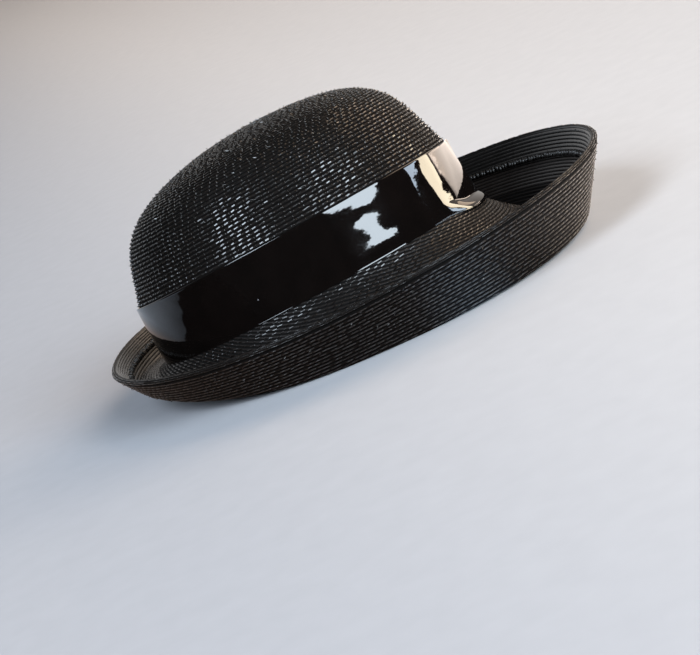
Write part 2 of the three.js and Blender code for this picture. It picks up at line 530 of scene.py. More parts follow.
def read_values(items: Any, name: str, kind: type, size: int = 1) -> Array:
    """Reads one value of every item of a mesh.

    Args:
        items: The mesh's points, corners, faces or marks.
        name: The value's name.
        kind: The numbers' type.
        size: How many numbers the value has.

    Returns:
        The values in one row.
    """
    values = np.zeros(len(items) * size, dtype=kind)
    items.foreach_get(name, values)
    return values


def write_rows(mesh: bpy.types.Mesh, flat: Array, shade: Array) -> None:
    """Writes a mesh's place on the rows and its shade, from values for each point.

    Args:
        mesh: The mesh.
        flat: Distance along and across the rows for each point, in millimetres.
        shade: Shade from 0 to 1 for each point.
    """
    layer = mesh.uv_layers.new(name=ROWS_UV)
    corners = read_values(mesh.loops, "vertex_index", np.int32)
    layer.data.foreach_set("uv", (flat / LAYOUT_UNIT)[corners].astype(np.float32).ravel())
    mark = mesh.attributes.new(SHADE, "FLOAT", "POINT")
    mark.data.foreach_set("value", shade.astype(np.float32))


def ring_grid(rings: Array, columns: int) -> tuple[Array, Array, Array]:
    """Spreads rings that are the same all round over a sheet's grid.

    Args:
        rings: A row for each ring, with distance down and distance off the face first.
        columns: Columns of the grid.

    Returns:
        Distance down, angle and distance off the face for each point of the grid.
    """
    down, angle = np.meshgrid(rings[:, 0], all_round(columns), indexing="ij")
    return down, angle, np.broadcast_to(rings[:, 1][:, None], down.shape)


def ring_sheet(
    name: str, points: Array, across: Array, radius: float, shade: Array
) -> bpy.types.Object:
    """A sheet wrapped round the hat, shaped from a grid and closed where its edges meet.

    Args:
        name: Name of the new object.
        points: Rings of points in millimetres, all round to the front again.
        across: Distance across the rows for each ring, in millimetres.
        radius: Radius at which distances along the rows are measured.
        shade: Shade from 0, the bed under the strands painted as shade, to 1 for each ring.

    Returns:
        The new object.
    """
    weld = 1e-6
    points[:, -1] = points[:, 0]
    rings, columns = points.shape[0], points.shape[1] - 1
    deselect()
    bpy.ops.mesh.primitive_grid_add(x_subdivisions=columns, y_subdivisions=rings - 1, size=2)
    made = bpy.context.active_object
    mesh = made.data
    made.name = mesh.name = name
    while mesh.uv_layers:
        mesh.uv_layers.remove(mesh.uv_layers[0])
    start = read_values(mesh.vertices, "co", float, 3).reshape(-1, 3)
    column = np.rint((start[:, 0] + 1) / 2 * columns).astype(int)
    ring = np.rint((start[:, 1] + 1) / 2 * (rings - 1)).astype(int)
    along = column * (TURN * radius / columns)
    write_rows(mesh, np.stack([along, across[ring]], axis=1), shade[ring])
    mesh.vertices.foreach_set("co", (points[ring, column] * MM).ravel())
    mesh.update()
    activate(made)
    bpy.ops.object.mode_set(mode="EDIT")
    bpy.ops.mesh.select_all(action="SELECT")
    bpy.ops.mesh.remove_doubles(threshold=weld)
    bpy.ops.mesh.normals_make_consistent(inside=False)
    bpy.ops.object.mode_set(mode="OBJECT")
    bpy.ops.object.shade_smooth()
    return made


def join_pieces(parts: list[bpy.types.Object], name: str) -> bpy.types.Object:
    """Joins several objects into the first one.

    Args:
        parts: The objects.
        name: Name of the joined object.

    Returns:
        The joined object.
    """
    activate(parts[0])
    for part in parts:
        part.select_set(True)
    bpy.ops.object.join()
    parts[0].name = parts[0].data.name = name
    return parts[0]


class Piece:
    """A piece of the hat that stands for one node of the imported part."""

    node: ClassVar[Node]
    slot: ClassVar[Slot]

    def build(self) -> bpy.types.Object:
        """Models the piece."""
        raise NotImplementedError

    def dress(self, finish: bpy.types.Material, bed: Optional[bpy.types.Material] = None) -> None:
        """Models the piece, gives it its materials, ties it to the part and reports it.

        Args:
            finish: Its material.
            bed: The near-black material, painted shade, of faces under the strands, if it has any.
        """
        piece = self.build()
        mesh = piece.data
        mesh.materials.clear()
        mesh.materials.append(finish)
        if bed:
            mesh.materials.append(bed)
            shade = read_values(mesh.attributes[SHADE].data, "value", np.float32)
            corners = read_values(mesh.loops, "vertex_index", np.int32)
            starts = read_values(mesh.polygons, "loop_start", np.int32)
            # Faces under the strands take the bed, painted near-black as shade.
            under = np.maximum.reduceat(shade[corners], starts) < BED_SHADE
            mesh.polygons.foreach_set("material_index", under.astype(np.int32))
        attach(piece, "root")
        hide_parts(self.node.value)
        mesh.calc_loop_triangles()
        LOG.info("%s: %d triangles", piece.name, len(mesh.loop_triangles))


# Finishes


@dataclass
class Bench:
    """A node tree, with short ways to add the nodes that the finishes share."""

    tree: bpy.types.NodeTree

    def add(self, kind: str, **inputs: Any) -> bpy.types.Node:
        """Adds a node and sets or links its inputs.

        Args:
            kind: The node's type, without the prefix that all shader nodes share.
            **inputs: First the node's settings, as set_ and a name. Then sockets by name,
                spaces as underscores, or by number as in_0.

        Returns:
            The new node.
        """
        made = self.tree.nodes.new("ShaderNode" + kind)
        for name, value in inputs.items():
            if name.startswith("set_"):
                setattr(made, name.removeprefix("set_"), value)
                continue
            numbered = name.startswith("in_")
            socket = made.inputs[int(name[3:]) if numbered else name.replace("_", " ")]
            if isinstance(value, Socket):
                self.tree.links.new(value, socket)
            else:
                socket.default_value = value
        return made

    def work(self, kind: str, operation: str, values: tuple[Any, ...]) -> bpy.types.Node:
        """Adds a node that works one sum on values in order."""
        numbered = {f"in_{place}": value for place, value in enumerate(values)}
        return self.add(kind, set_operation=operation, **numbered)

    def calc(self, operation: str, *values: Any) -> Socket:
        """Works one sum on numbers."""
        return self.work("Math", operation, values).outputs[0]

    def measure(self, operation: str, *vectors: Any) -> Socket:
        """Works out one number from vectors."""
        return self.work("VectorMath", operation, vectors).outputs["Value"]

    def product(self, first: Any, *factors: Any) -> Socket:
        """Multiplies numbers in order.

        Args:
            first: The first number.
            *factors: The others.

        Returns:
            The socket of the product.
        """
        for factor in factors:
            first = self.calc("MULTIPLY", first, factor)
        return first

    def ramp(self, value: Any, start: Span, end: Span = (0.0, 1.0), smooth: bool = False) -> Socket:
        """Carries a value from one range over to another and stops at its ends.

        Args:
            value: The value.
            start: The range that it comes from.
            end: The range that it is carried to.
            smooth: Whether it eases in and out.

        Returns:
            The socket of the new value.
        """
        made = self.add(
            "MapRange", set_interpolation_type="SMOOTHSTEP" if smooth else "LINEAR", Value=value,
            From_Min=start[0], From_Max=start[1], To_Min=end[0], To_Max=end[1],
        )
        return made.outputs[0]

    def mix(self, share: Any, first: Any, second: Any, blend: str = "MIX") -> Socket:
        """Mixes two colours.

        Args:
            share: Share of the second one.
            first: The first colour or its socket.
            second: The second colour or its socket.
            blend: How the second one is laid on the first.

        Returns:
            The socket of the mixed colour.
        """
        pair = [end if isinstance(end, Socket) else (*end, 1.0) for end in (first, second)]
        made = self.add(
            "Mix", set_data_type="RGBA", set_blend_type=blend, Factor=share,
            in_6=pair[0], in_7=pair[1],
        )
        return made.outputs[2]

    def noise(self, place: Socket, scale: float, detail: float, roughness: float = 0.5) -> Socket:
        """Soft noise over a surface."""
        made = self.add("TexNoise", Vector=place, Scale=scale, Detail=detail, Roughness=roughness)
        return made.outputs[0]

    def place(self) -> Socket:
        """The place on the object."""
        return self.add("TexCoord").outputs["Object"]

    def rows(self) -> Socket:
        """The place on the rows of braid."""
        return self.add("UVMap", set_uv_map=ROWS_UV).outputs[0]

    def shade(self) -> Socket:
        """The shade of strands and ridges."""
        return self.add("Attribute", set_attribute_name=SHADE).outputs["Fac"]

    def surface(self, **inputs: Any) -> None:
        """Ends a material with its shader and output."""
        shader = self.add("BsdfPrincipled", **inputs)
        self.add("OutputMaterial", Surface=shader.outputs[0])


def new_group(
    name: str, inputs: dict[str, Optional[float]], outputs: tuple[str, ...]
) -> tuple[Bench, bpy.types.Node, bpy.types.Node]:
    """Starts a shader node group with named sockets.

    Args:
        name: The group's name.
        inputs: First values of numbers by name, and None for a vector.
        outputs: Names of the numbers that it puts out.

    Returns:
        The group's tree, its input node and its output node.
    """
    tree = bpy.data.node_groups.new(name, "ShaderNodeTree")
    for label, value in inputs.items():
        kind = "NodeSocketVector" if value is None else "NodeSocketFloat"
        socket = tree.interface.new_socket(name=label, in_out="INPUT", socket_type=kind)
        if value is not None:
            socket.default_value = value
    for label in outputs:
        tree.interface.new_socket(name=label, in_out="OUTPUT", socket_type="NodeSocketFloat")
    return Bench(tree), tree.nodes.new("NodeGroupInput"), tree.nodes.new("NodeGroupOutput")


def new_material(name: str) -> tuple[bpy.types.Material, Bench]:
    """Starts a node material with an empty tree.

    Args:
        name: The material's name.

    Returns:
        The material and its tree.
    """
    made = bpy.data.materials.new(name)
    made.use_nodes = True
    made.node_tree.nodes.clear()
    return made, Bench(made.node_tree)


@dataclass(frozen=True)
class StrandLines:
    """Fine lines along a straw strand and the unevenness of its dye."""

    stretch: tuple[float, float, float] = (2.2, 60.0, 1.0)
    line_detail: float = 3.0
    line_roughness: float = 0.6
    patch_scale: float = 0.9
    patch_detail: float = 2.0
    line_share: float = 0.45
    shade_share: float = 0.6
    tone_reach: Span = (0.45, 1.55)

    def group(self) -> bpy.types.NodeTree:
        """Builds the node group.

        Returns:
            The group, which puts out the lines' height and the dye's tone.
        """
        first_values = {"Rows": None, "Shade": 0.5}
        bench, into, out = new_group("straw_strands", first_values, ("Height", "Tone"))
        rows, shade = (into.outputs[name] for name in first_values)
        drawn = bench.add("Mapping", Vector=rows, Scale=self.stretch).outputs[0]
        lines = bench.noise(drawn, 1.0, self.line_detail, self.line_roughness)
        patches = bench.noise(rows, self.patch_scale, self.patch_detail)
        mixed = bench.calc("MULTIPLY_ADD", lines, self.line_share, patches)
        toned = bench.calc("MULTIPLY_ADD", shade, self.shade_share, mixed)
        bench.tree.links.new(lines, out.inputs["Height"])
        bench.tree.links.new(bench.ramp(toned, self.tone_reach), out.inputs["Tone"])
        return bench.tree


def lint_group() -> bpy.types.NodeTree:
    """Builds the node group that scatters lint.

    Returns:
        The group, which puts out a mask of the specks.
    """
    first_values = {"Position": None, "Spacing": 90.0, "Rarity": 0.9, "Size": 0.05}
    bench, into, out = new_group("lint", first_values, ("Mask",))
    place, spacing, rarity, size = (into.outputs[name] for name in first_values)
    cells = bench.add("TexVoronoi", Vector=place, Scale=spacing)
    near = bench.calc("LESS_THAN", cells.outputs["Distance"], size)
    pick = bench.add("SeparateColor", Color=cells.outputs["Color"]).outputs[0]
    rare = bench.calc("GREATER_THAN", pick, rarity)
    bench.tree.links.new(bench.product(near, rare), out.inputs["Mask"])
    return bench.tree


@dataclass(frozen=True)
class Lint:
    """A few pale specks of lint, here and there on a surface.

    Attributes:
        spacing: Cells that may hold a speck, along a metre.
        rarity: Share of cells that hold none.
        size: Reach of a speck in its cell.
        colour: Colour of the specks.
    """

    spacing: float
    rarity: float
    size: float
    colour: Colour

    def over(self, bench: Bench, lint: bpy.types.NodeTree, colour: Socket) -> Socket:
        """Lays the specks over a colour.

        Args:
            bench: The material's tree.
            lint: The group that scatters lint.
            colour: The socket of the colour.

        Returns:
            The socket of the colour with specks.
        """
        specks = bench.add(
            "Group", set_node_tree=lint, Position=bench.place(),
            Spacing=self.spacing, Rarity=self.rarity, Size=self.size,
        )
        return bench.mix(specks.outputs["Mask"], colour, self.colour)


@dataclass(frozen=True)
class StrawFinish:
    """Lacquered black straw: dyed strands with fine lines and a hard gloss."""

    name: str
    deep: Colour
    worn: Colour
    gloss: Span
    coat: float
    coat_roughness: float
    specular: float
    line_depth: float = 0.00004
    line_strength: float = 0.6
    specks: Lint = Lint(spacing=120.0, rarity=0.965, size=0.07, colour=(0.11, 0.105, 0.1))

    def material(self, strands: bpy.types.NodeTree, lint: bpy.types.NodeTree) -> bpy.types.Material:
        """Builds the material.

        Args:
            strands: The group that draws the strands' lines.
            lint: The group that scatters lint.

        Returns:
            The material.
        """
        made, bench = new_material(self.name)
        drawn = bench.add("Group", set_node_tree=strands, Rows=bench.rows(), Shade=bench.shade())
        height, tone = drawn.outputs["Height"], drawn.outputs["Tone"]
        dyed = bench.mix(tone, self.deep, self.worn)
        raised = bench.add(
            "Bump", Strength=self.line_strength, Distance=self.line_depth, Height=height
        )
        bench.surface(
            Base_Color=self.specks.over(bench, lint, dyed),
            Roughness=bench.ramp(tone, (0.0, 1.0), self.gloss),
            Normal=raised.outputs[0],
            Specular_IOR_Level=self.specular,
            Coat_Weight=self.coat,
            Coat_Roughness=self.coat_roughness,
        )
        return made


@dataclass(frozen=True)
class PaintedShadeBedFinish:
    """The dull bed between the strands: near-black painted shade, with fibres on its ridges."""

    name: str = "bed_painted_shade"
    # Painted shade: deep is the near-black of the valleys between the strands.
    deep: Colour = (0.0012, 0.001, 0.0009)
    fibre: Colour = (0.0105, 0.0064, 0.0048)
    specular: float = 0.09
    roughness: float = 0.95
    ridge_roughness: float = 0.48
    line_shade: float = 0.5

    def material(self, strands: bpy.types.NodeTree) -> bpy.types.Material:
        """Builds the material.

        Args:
            strands: The group that draws the strands' lines.

        Returns:
            The material.
        """
        made, bench = new_material(self.name)
        drawn = bench.add("Group", set_node_tree=strands, Rows=bench.rows(), Shade=self.line_shade)
        # Valleys keep the near-black deep colour as painted shade; ridges show the fibres.
        ridge = bench.ramp(bench.shade(), (0.0, RIDGE_SHADE))
        fibres = bench.product(ridge, drawn.outputs["Height"])
        bench.surface(
            Base_Color=bench.mix(fibres, self.deep, self.fibre),
            Roughness=bench.ramp(ridge, (0.0, 1.0), (self.roughness, self.ridge_roughness)),
            Specular_IOR_Level=self.specular,
        )
        return made


@dataclass(frozen=True)
class PatentFinish:
    """Black patent with a mirror gloss that ripples slightly."""

    name: str = "black_patent"
    deep: Colour = (0.0014, 0.0011, 0.001)
    cast: Colour = (0.0045, 0.003, 0.0026)
    gloss: Span = (0.02, 0.05)
    cloud_scale: float = 70.0
    cloud_detail: float = 3.0
    ripple_scale: float = 190.0
    ripple_detail: float = 2.0
    ripple_depth: float = 0.00003
    specular: float = 0.7
    specks: Lint = Lint(spacing=70.0, rarity=0.9, size=0.045, colour=(0.2, 0.2, 0.21))

    def material(self, lint: bpy.types.NodeTree) -> bpy.types.Material:
        """Builds the material.

        Args:
            lint: The group that scatters lint.

        Returns:
            The material.
        """
        made, bench = new_material(self.name)
        place = bench.place()
        ripple = bench.noise(place, self.ripple_scale, self.ripple_detail)
        cloud = bench.noise(place, self.cloud_scale, self.cloud_detail)
        tinted = bench.mix(cloud, self.deep, self.cast)
        raised = bench.add("Bump", Strength=1.0, Distance=self.ripple_depth, Height=ripple)
        bench.surface(
            Base_Color=self.specks.over(bench, lint, tinted),
            Roughness=bench.ramp(cloud, (0.0, 1.0), self.gloss),
            Normal=raised.outputs[0],
            Specular_IOR_Level=self.specular,
        )
        return made


@dataclass(frozen=True)
class FloorFinish:
    """A pale, matt floor with painted light falloff, cooler to the back, and painted reflections.

    Attributes:
        tone_line: Direction in which the painted light falloff changes the floor's tone.
        tone_reach: Where along it the change starts and ends.
        painted_reflection_dark: Painted reflection before the hat; the next ones paint places round
            it.
        close_reach: Distances between which the painted reflection is no longer close to the hat.
        back_line: Slope and place of a line behind which the painted reflection is pale.
        front_line: The same for a second line.
        edge: Half width of those lines' edges.
        fade: Distance over which the pale painted reflection grows from fade_start.
        wander: How far the lines wander.
        painted_glow_reach: Distances between which the pale painted reflection's emission grows.
        painted_sky_patch: Middle of a patch of painted reflection of the sky.
        painted_sky_reach: Distances at which the patch ends and is full.
    """

    name: str = "floor_painted_light_and_reflections"
    low: Colour = (0.525, 0.527, 0.546)
    high: Colour = (0.575, 0.577, 0.597)
    mottle_scale: float = 60.0
    mottle_detail: float = 5.0
    roughness: float = 0.95
    # Painted light falloff: the floor is painted paler to the front, darker and cooler to the back.
    tone_line: tuple[float, float, float] = (-0.25, 1.0, 0.0)
    tone_reach: Span = (-0.25, 0.22)
    painted_light_front: Colour = (1.13, 1.09, 1.04)
    painted_shade_back: Colour = (0.78, 0.795, 0.82)
    # Painted reflections: colours the floor shows to gloss alone, in the tones of a room.
    painted_reflection_dark: Colour = (0.007, 0.0056, 0.005)
    painted_reflection_under: Colour = (0.16, 0.1, 0.075)
    painted_reflection_rear: Colour = (0.46, 0.3, 0.22)
    painted_reflection_close: Colour = (1.0, 0.9, 0.86)
    painted_reflection_front: Colour = (0.95, 0.82, 0.72)
    painted_reflection_back: Colour = (0.46, 0.51, 0.58)
    pale_span: Span = (-0.2, 0.3)
    ahead_span: Span = (-0.102, -0.16)
    rear_span: Span = (0.02, 0.11)
    close_reach: Span = (0.24, 0.34)
    back_line: tuple[float, float, float] = (1.0, 0.373, -0.076)
    front_line: tuple[float, float, float] = (0.883, 0.469, 0.05)
    edge: float = 0.004
    fade: float = 0.15
    fade_start: float = 0.35
    wander: float = 0.09
    wander_scale: float = 7.0
    # Painted emission that gloss alone sees, lighting up the pale painted reflections.
    painted_glow: float = 3.2
    painted_glow_reach: Span = (0.2, 1.3)
    painted_glow_span: Span = (0.1, -0.2)
    painted_close_glow: float = 0.55
    painted_sky_patch: tuple[float, float, float] = (-0.119, -0.067, 0.0)
    painted_sky_reach: Span = (0.036, 0.008)
    painted_sky_glow: Colour = (0.34, 0.5, 0.68)

    def material(self) -> bpy.types.Material:
        """Builds the material.

        Returns:
            The material.
        """
        made, bench = new_material(self.name)
        place = bench.place()
        mottle = bench.noise(place, self.mottle_scale, self.mottle_detail)
        tinted = bench.mix(mottle, self.low, self.high)
        # Painted light falloff laid over the floor's own mottle.
        along = bench.measure("DOT_PRODUCT", place, self.tone_line)
        share = bench.ramp(along, self.tone_reach, smooth=True)
        tone = bench.mix(share, self.painted_light_front, self.painted_shade_back)
        toned = bench.mix(1.0, tinted, tone, "MULTIPLY")
        # Gloss sees painted reflections and painted emission in place of the floor's own colour.
        glossy = bench.add("LightPath").outputs["Is Glossy Ray"]
        colour, painted_glow = self._painted_reflection(bench, place, glossy)
        bench.surface(
            Base_Color=bench.mix(glossy, toned, colour),
            Roughness=self.roughness,
            Specular_IOR_Level=0.0,
            Emission_Color=painted_glow,
            Emission_Strength=self.painted_glow,
        )
        return made

    def _behind(self, bench: Bench, place: Socket) -> Socket:
        """Where the floor behind the hat shows a pale painted reflection.

        Args:
            bench: The material's tree.
            place: The socket of the place on the floor.

        Returns:
            The socket of the mask.
        """
        masks = []
        uneven = bench.noise(place, self.wander_scale, 1.0)
        for along_x, along_y, base in (self.back_line, self.front_line):
            side = bench.measure("DOT_PRODUCT", place, (along_x, along_y, 0.0))
            value = bench.calc("MULTIPLY_ADD", uneven, self.wander, side)
            start = self.wander / 2 - base
            edge = bench.ramp(value, (start - self.edge, start + self.edge))
            fade = bench.ramp(value, (start, start + self.fade), (self.fade_start, 1.0))
            masks.append(bench.product(edge, fade))
        return bench.calc("MINIMUM", *masks)

    def _painted_reflection(self, bench: Bench, place: Socket, glossy: Socket) -> tuple[Socket, Socket]:
        """The painted reflection that gloss sees in the floor: dark before the hat, pale behind it.

        Args:
            bench: The material's tree.
            place: The socket of the place on the floor.
            glossy: The socket that tells whether gloss mirrors the floor.

        Returns:
            Sockets of the painted reflection's colour and of its painted emission.
        """
        span = bench.measure("LENGTH", place)
        away = bench.ramp(span, self.close_reach)
        pale_share = bench.product(self._behind(bench, place), away)
        back = bench.add("SeparateXYZ", Vector=place).outputs["Y"]
        ahead, rear = bench.ramp(back, self.ahead_span), bench.ramp(back, self.rear_span)
        beneath = bench.mix(rear, self.painted_reflection_under, self.painted_reflection_rear)
        close = bench.mix(ahead, beneath, self.painted_reflection_close)
        near = bench.mix(away, close, self.painted_reflection_dark)
        ends = bench.ramp(back, self.pale_span)
        pale = bench.mix(ends, self.painted_reflection_front, self.painted_reflection_back)
        grown, fronted = bench.ramp(span, self.painted_glow_reach), bench.ramp(back, self.painted_glow_span)
        painted_pale_glow = bench.product(pale_share, grown, fronted, glossy)
        close_share = bench.ramp(away, (1.0, 0.0))
        painted_close_glow = bench.product(close_share, ahead, self.painted_close_glow, glossy)
        total = bench.calc("ADD", painted_pale_glow, painted_close_glow)
        # Painted emission that gloss alone sees, in the pale painted reflection's colour.
        lit = bench.mix(total, (0.0, 0.0, 0.0), self.painted_reflection_front)
        # A painted reflection of the sky in a small patch, seen by gloss alone.
        apart = bench.measure("DISTANCE", place, self.painted_sky_patch)
        sky = bench.product(bench.ramp(apart, self.painted_sky_reach), glossy)
        return bench.mix(pale_share, near, pale), bench.mix(sky, lit, self.painted_sky_glow, "ADD")


STRAW = StrawFinish(
    name="black_straw", deep=(0.0025, 0.0022, 0.002), worn=(0.01, 0.0085, 0.0075),
    gloss=(0.11, 0.25), coat=0.3, coat_roughness=0.1, specular=0.6,
)
BRIM_STRAW = StrawFinish(
    name="black_brim_straw", deep=(0.0032, 0.002, 0.0016), worn=(0.013, 0.0084, 0.0062),
    gloss=(0.07, 0.54), coat=0.1, coat_roughness=0.2, specular=0.55,
)
FACING_STRAW = StrawFinish(
    name="black_facing_straw", deep=(0.003, 0.0027, 0.0025), worn=(0.012, 0.0105, 0.0095),
    gloss=(0.18, 0.34), coat=0.1, coat_roughness=0.15, specular=0.44,
)
# The brim's bed: near-black painted shade between its strands, a little glossier.
BRIM_BED_PAINTED_SHADE = PaintedShadeBedFinish(name="brim_bed_painted_shade", specular=0.16, ridge_roughness=0.42)


# The hat's pieces


@dataclass(frozen=True)
class CrownSection:
    """A level ring of the crown above the band's upper edge."""

    height: float
    front: float
    back: float


@dataclass
class Crown(Piece, RowSurface):
    """The domed crown: rows of braid round a dome, over a plain wall behind the band."""

    node: ClassVar[Node] = Node.CROWN
    slot: ClassVar[Slot] = Slot.STRAW
    sections: tuple[CrownSection, ...] = (
        CrownSection(0, 97.2, 99.6),
        CrownSection(8, 94.6, 97),
        CrownSection(16, 92, 94.6),
        CrownSection(23, 89.7, 92.2),
        CrownSection(29, 87.2, 89.4),
        CrownSection(34, 84.6, 86),
        CrownSection(39, 81.4, 81.4),
        CrownSection(43.5, 77, 75.6),
        CrownSection(47.5, 71.8, 68.6),
        CrownSection(51, 65.6, 60.4),
        CrownSection(54, 58.2, 50.8),
        CrownSection(56.8, 47.6, 39.4),
        CrownSection(58.8, 35.2, 27.4),
        CrownSection(60.2, 20.6, 13.2),
    )
    top_height: float = 60.8
    top_forward: float = 4.0
    side_ratio: float = 0.84
    squareness: float = 2.1
    rows: int = 53
    columns: int = 108
    sink: float = 0.58
    relief: RowRelief = RowRelief(places=(0.04, 0.28, 0.62, 0.9), rises=(0.0, 0.42, 0.46, 0.1))
    inner_relief: RowRelief = RowRelief(places=(0.5, 0.95), rises=(0.22, 0.0))
    inner_shade: float = 0.4
    strand_stop: float = 0.3
    layout_radius: float = 80.0
    float_strand: Strand = Strand(
        period=5.0, length=2.9, width=0.6, height=0.4, place=0.46, offset=-0.04,
        scatter=1.7, slant=7.0, stray=0.05, advance=0.1,
    )
    knuckle: Strand = Strand(
        period=5.0, length=0.8, width=1.5, height=0.5, place=0.48, offset=-0.16,
        scatter=3.0, slant=8.0, shift=0.5, advance=0.1,
    )
    seed: int = 41

    def __post_init__(self) -> None:
        """Measures the dome's profile from the top down."""
        table = sorted(self.sections, key=lambda section: -section.height)
        self._half = np.array([0.0] + [(row.front + row.back) / 2 for row in table])
        self._ahead = np.array([self.top_forward] + [(row.front - row.back) / 2 for row in table])
        self._height = np.array([self.top_height] + [row.height for row in table])
        mean = self._half * (1 + self.side_ratio) / 2
        travel = np.cumsum(np.hypot(np.diff(self._height), np.diff(mean)))
        self._down = np.concatenate([[0.0], travel])

    @property
    def length(self) -> float:
        """Length of the dome's mean profile, from the top to the band's upper edge."""
        return float(self._down[-1])

    @property
    def pitch(self) -> float:
        """Width of a row."""
        return self.length / self.rows

    def _profile(self, down: Array, values: Array) -> Array:
        """One of the profile's measures at distances down from the top."""
        return smooth_through(down, self._down, values)

    def point(self, down: Array, angle: Array, offset: Array) -> Array:
        """Points by distance down from the top, angle and distance off the outer face.

        Args:
            down: Distances down the mean profile.
            angle: Angles from the front.
            offset: Distances off the face.

        Returns:
            Points of the hat.
        """
        step, least = 0.05, 1e-9
        on_dome = np.clip(down, 0, self.length)
        half = np.maximum(self._profile(on_dome, self._half), 0.0)
        height = self._profile(on_dome, self._height)
        low, high = np.clip(on_dome - step, 0, None), np.clip(on_dome + step, None, self.length)
        drop = self._profile(low, self._height) - self._profile(high, self._height)
        grow = self._profile(high, self._half) - self._profile(low, self._half)
        slant = np.maximum(np.hypot(drop, grow), least)
        shape = Oval(1.0, 1.0, self.side_ratio, self.squareness).reach(angle)
        reach = half * shape + offset * drop / slant
        dome = ring_points(angle, reach, height + offset * grow / slant)
        dome[..., 1] -= self._profile(on_dome, self._ahead)
        under = np.maximum(down - self.length, 0.0)
        wall_reach = BAND_TOP.reach(angle) - WALLS.patent - WALLS.gap + offset
        wall = ring_points(angle, wall_reach, -under)
        blend = np.clip(under / self.pitch, 0, 1)[..., None]
        return LEAN.to_hat(dome * (1 - blend) + wall * blend)

    def shown(self, down: Array, angle: Array) -> Array:
        """Strands show above the band."""
        return down < self.length - self.strand_stop

    def rings(self) -> list[tuple[float, float, float]]:
        """Rings of the sheet, outside then inside.

        Returns:
            Distance down, distance off the face and shade of each ring.
        """
        rings = [(0.0, self.relief.rises[1] - self.sink, RIDGE_SHADE)]
        for row in range(self.rows):
            for place, rise in self.relief.steps(Overlap.FAR_EDGE):
                shade = RIDGE_SHADE if rise > RIDGE_RISE else 0.0
                rings.append(((row + place) * self.pitch, rise - self.sink, shade))
        edge, bottom = self.length + self.pitch, self.length + BREAK_DROP
        wall = (edge, (edge + bottom) / 2, bottom)
        rings += [(down, 0.0, 0.0) for down in wall]
        rings += [(down, -WALLS.straw, self.inner_shade) for down in reversed(wall)]
        for row in reversed(range(self.rows)):
            for place, rise in reversed(self.inner_relief.steps(Overlap.FAR_EDGE)):
                rings.append(((row + place) * self.pitch, rise - WALLS.straw, self.inner_shade))
        rings.append((0.0, -WALLS.straw, self.inner_shade))
        return rings

    def build(self) -> bpy.types.Object:
        """Models the crown.

        Returns:
            The crown's object.
        """
        rng = np.random.default_rng(self.seed)
        rings = np.array(self.rings())
        points = self.point(*ring_grid(rings, self.columns))
        sheet = ring_sheet("crown_sheet", points, rings[:, 0], self.layout_radius, rings[:, 2])
        floats, knuckles, ends = StrandBatch(), StrandBatch(), StrandBatch()
        for row in range(1, self.rows):
            floats.lay_row(self, row, self.pitch, self.float_strand, rng)
            knuckles.lay_row(self, row, self.pitch, self.knuckle, rng)
        for row in range(1, self.rows):
            ends.lay_row(self, row, self.pitch, STRAW_END, rng)
        parts = [
            sheet,
            floats.to_object("crown_floats", StrandShape.FLAT),
            knuckles.to_object("crown_knuckles", StrandShape.BEAD),
            ends.to_object("crown_straw_ends", StrandShape.FLAT),
        ]
        return join_pieces(parts, "crown_straw")


@dataclass(frozen=True)
class BrimSection:
    """The brim's measures at one angle from the front."""

    angle: float
    rim_height: float
    flare: float
    lift: float
    sag: float
    facing: float


@dataclass(frozen=True)
class BrimLine:
    """The brim's section at each of some angles, in an upright plane from the break outwards.

    Attributes:
        start: The break, as points of the hat.
        direction: The planes' directions from the break to the rim.
        inner: The break in the plane.
        edge: The rim in the plane.
        up: Direction of the wall, up to the rim.
        turn: Middle of the turn's circle.
        wall_angle: Angle on that circle where the wall starts.
        shelf_end: Where the shelf meets the turn.
        wall: Length of the wall.
        arc: Length of the turn.
        shelf: Length of the shelf.
        sag: How far the shelf bows down.
    """

    start: Array
    direction: Array
    inner: Array
    edge: Array
    up: Array
    turn: Array
    wall_angle: Array
    shelf_end: Array
    wall: Array
    arc: Array
    shelf: Array
    sag: Array

    @property
    def total(self) -> Array:
        """Length of the section from the rim to the break."""
        return self.wall + self.arc + self.shelf


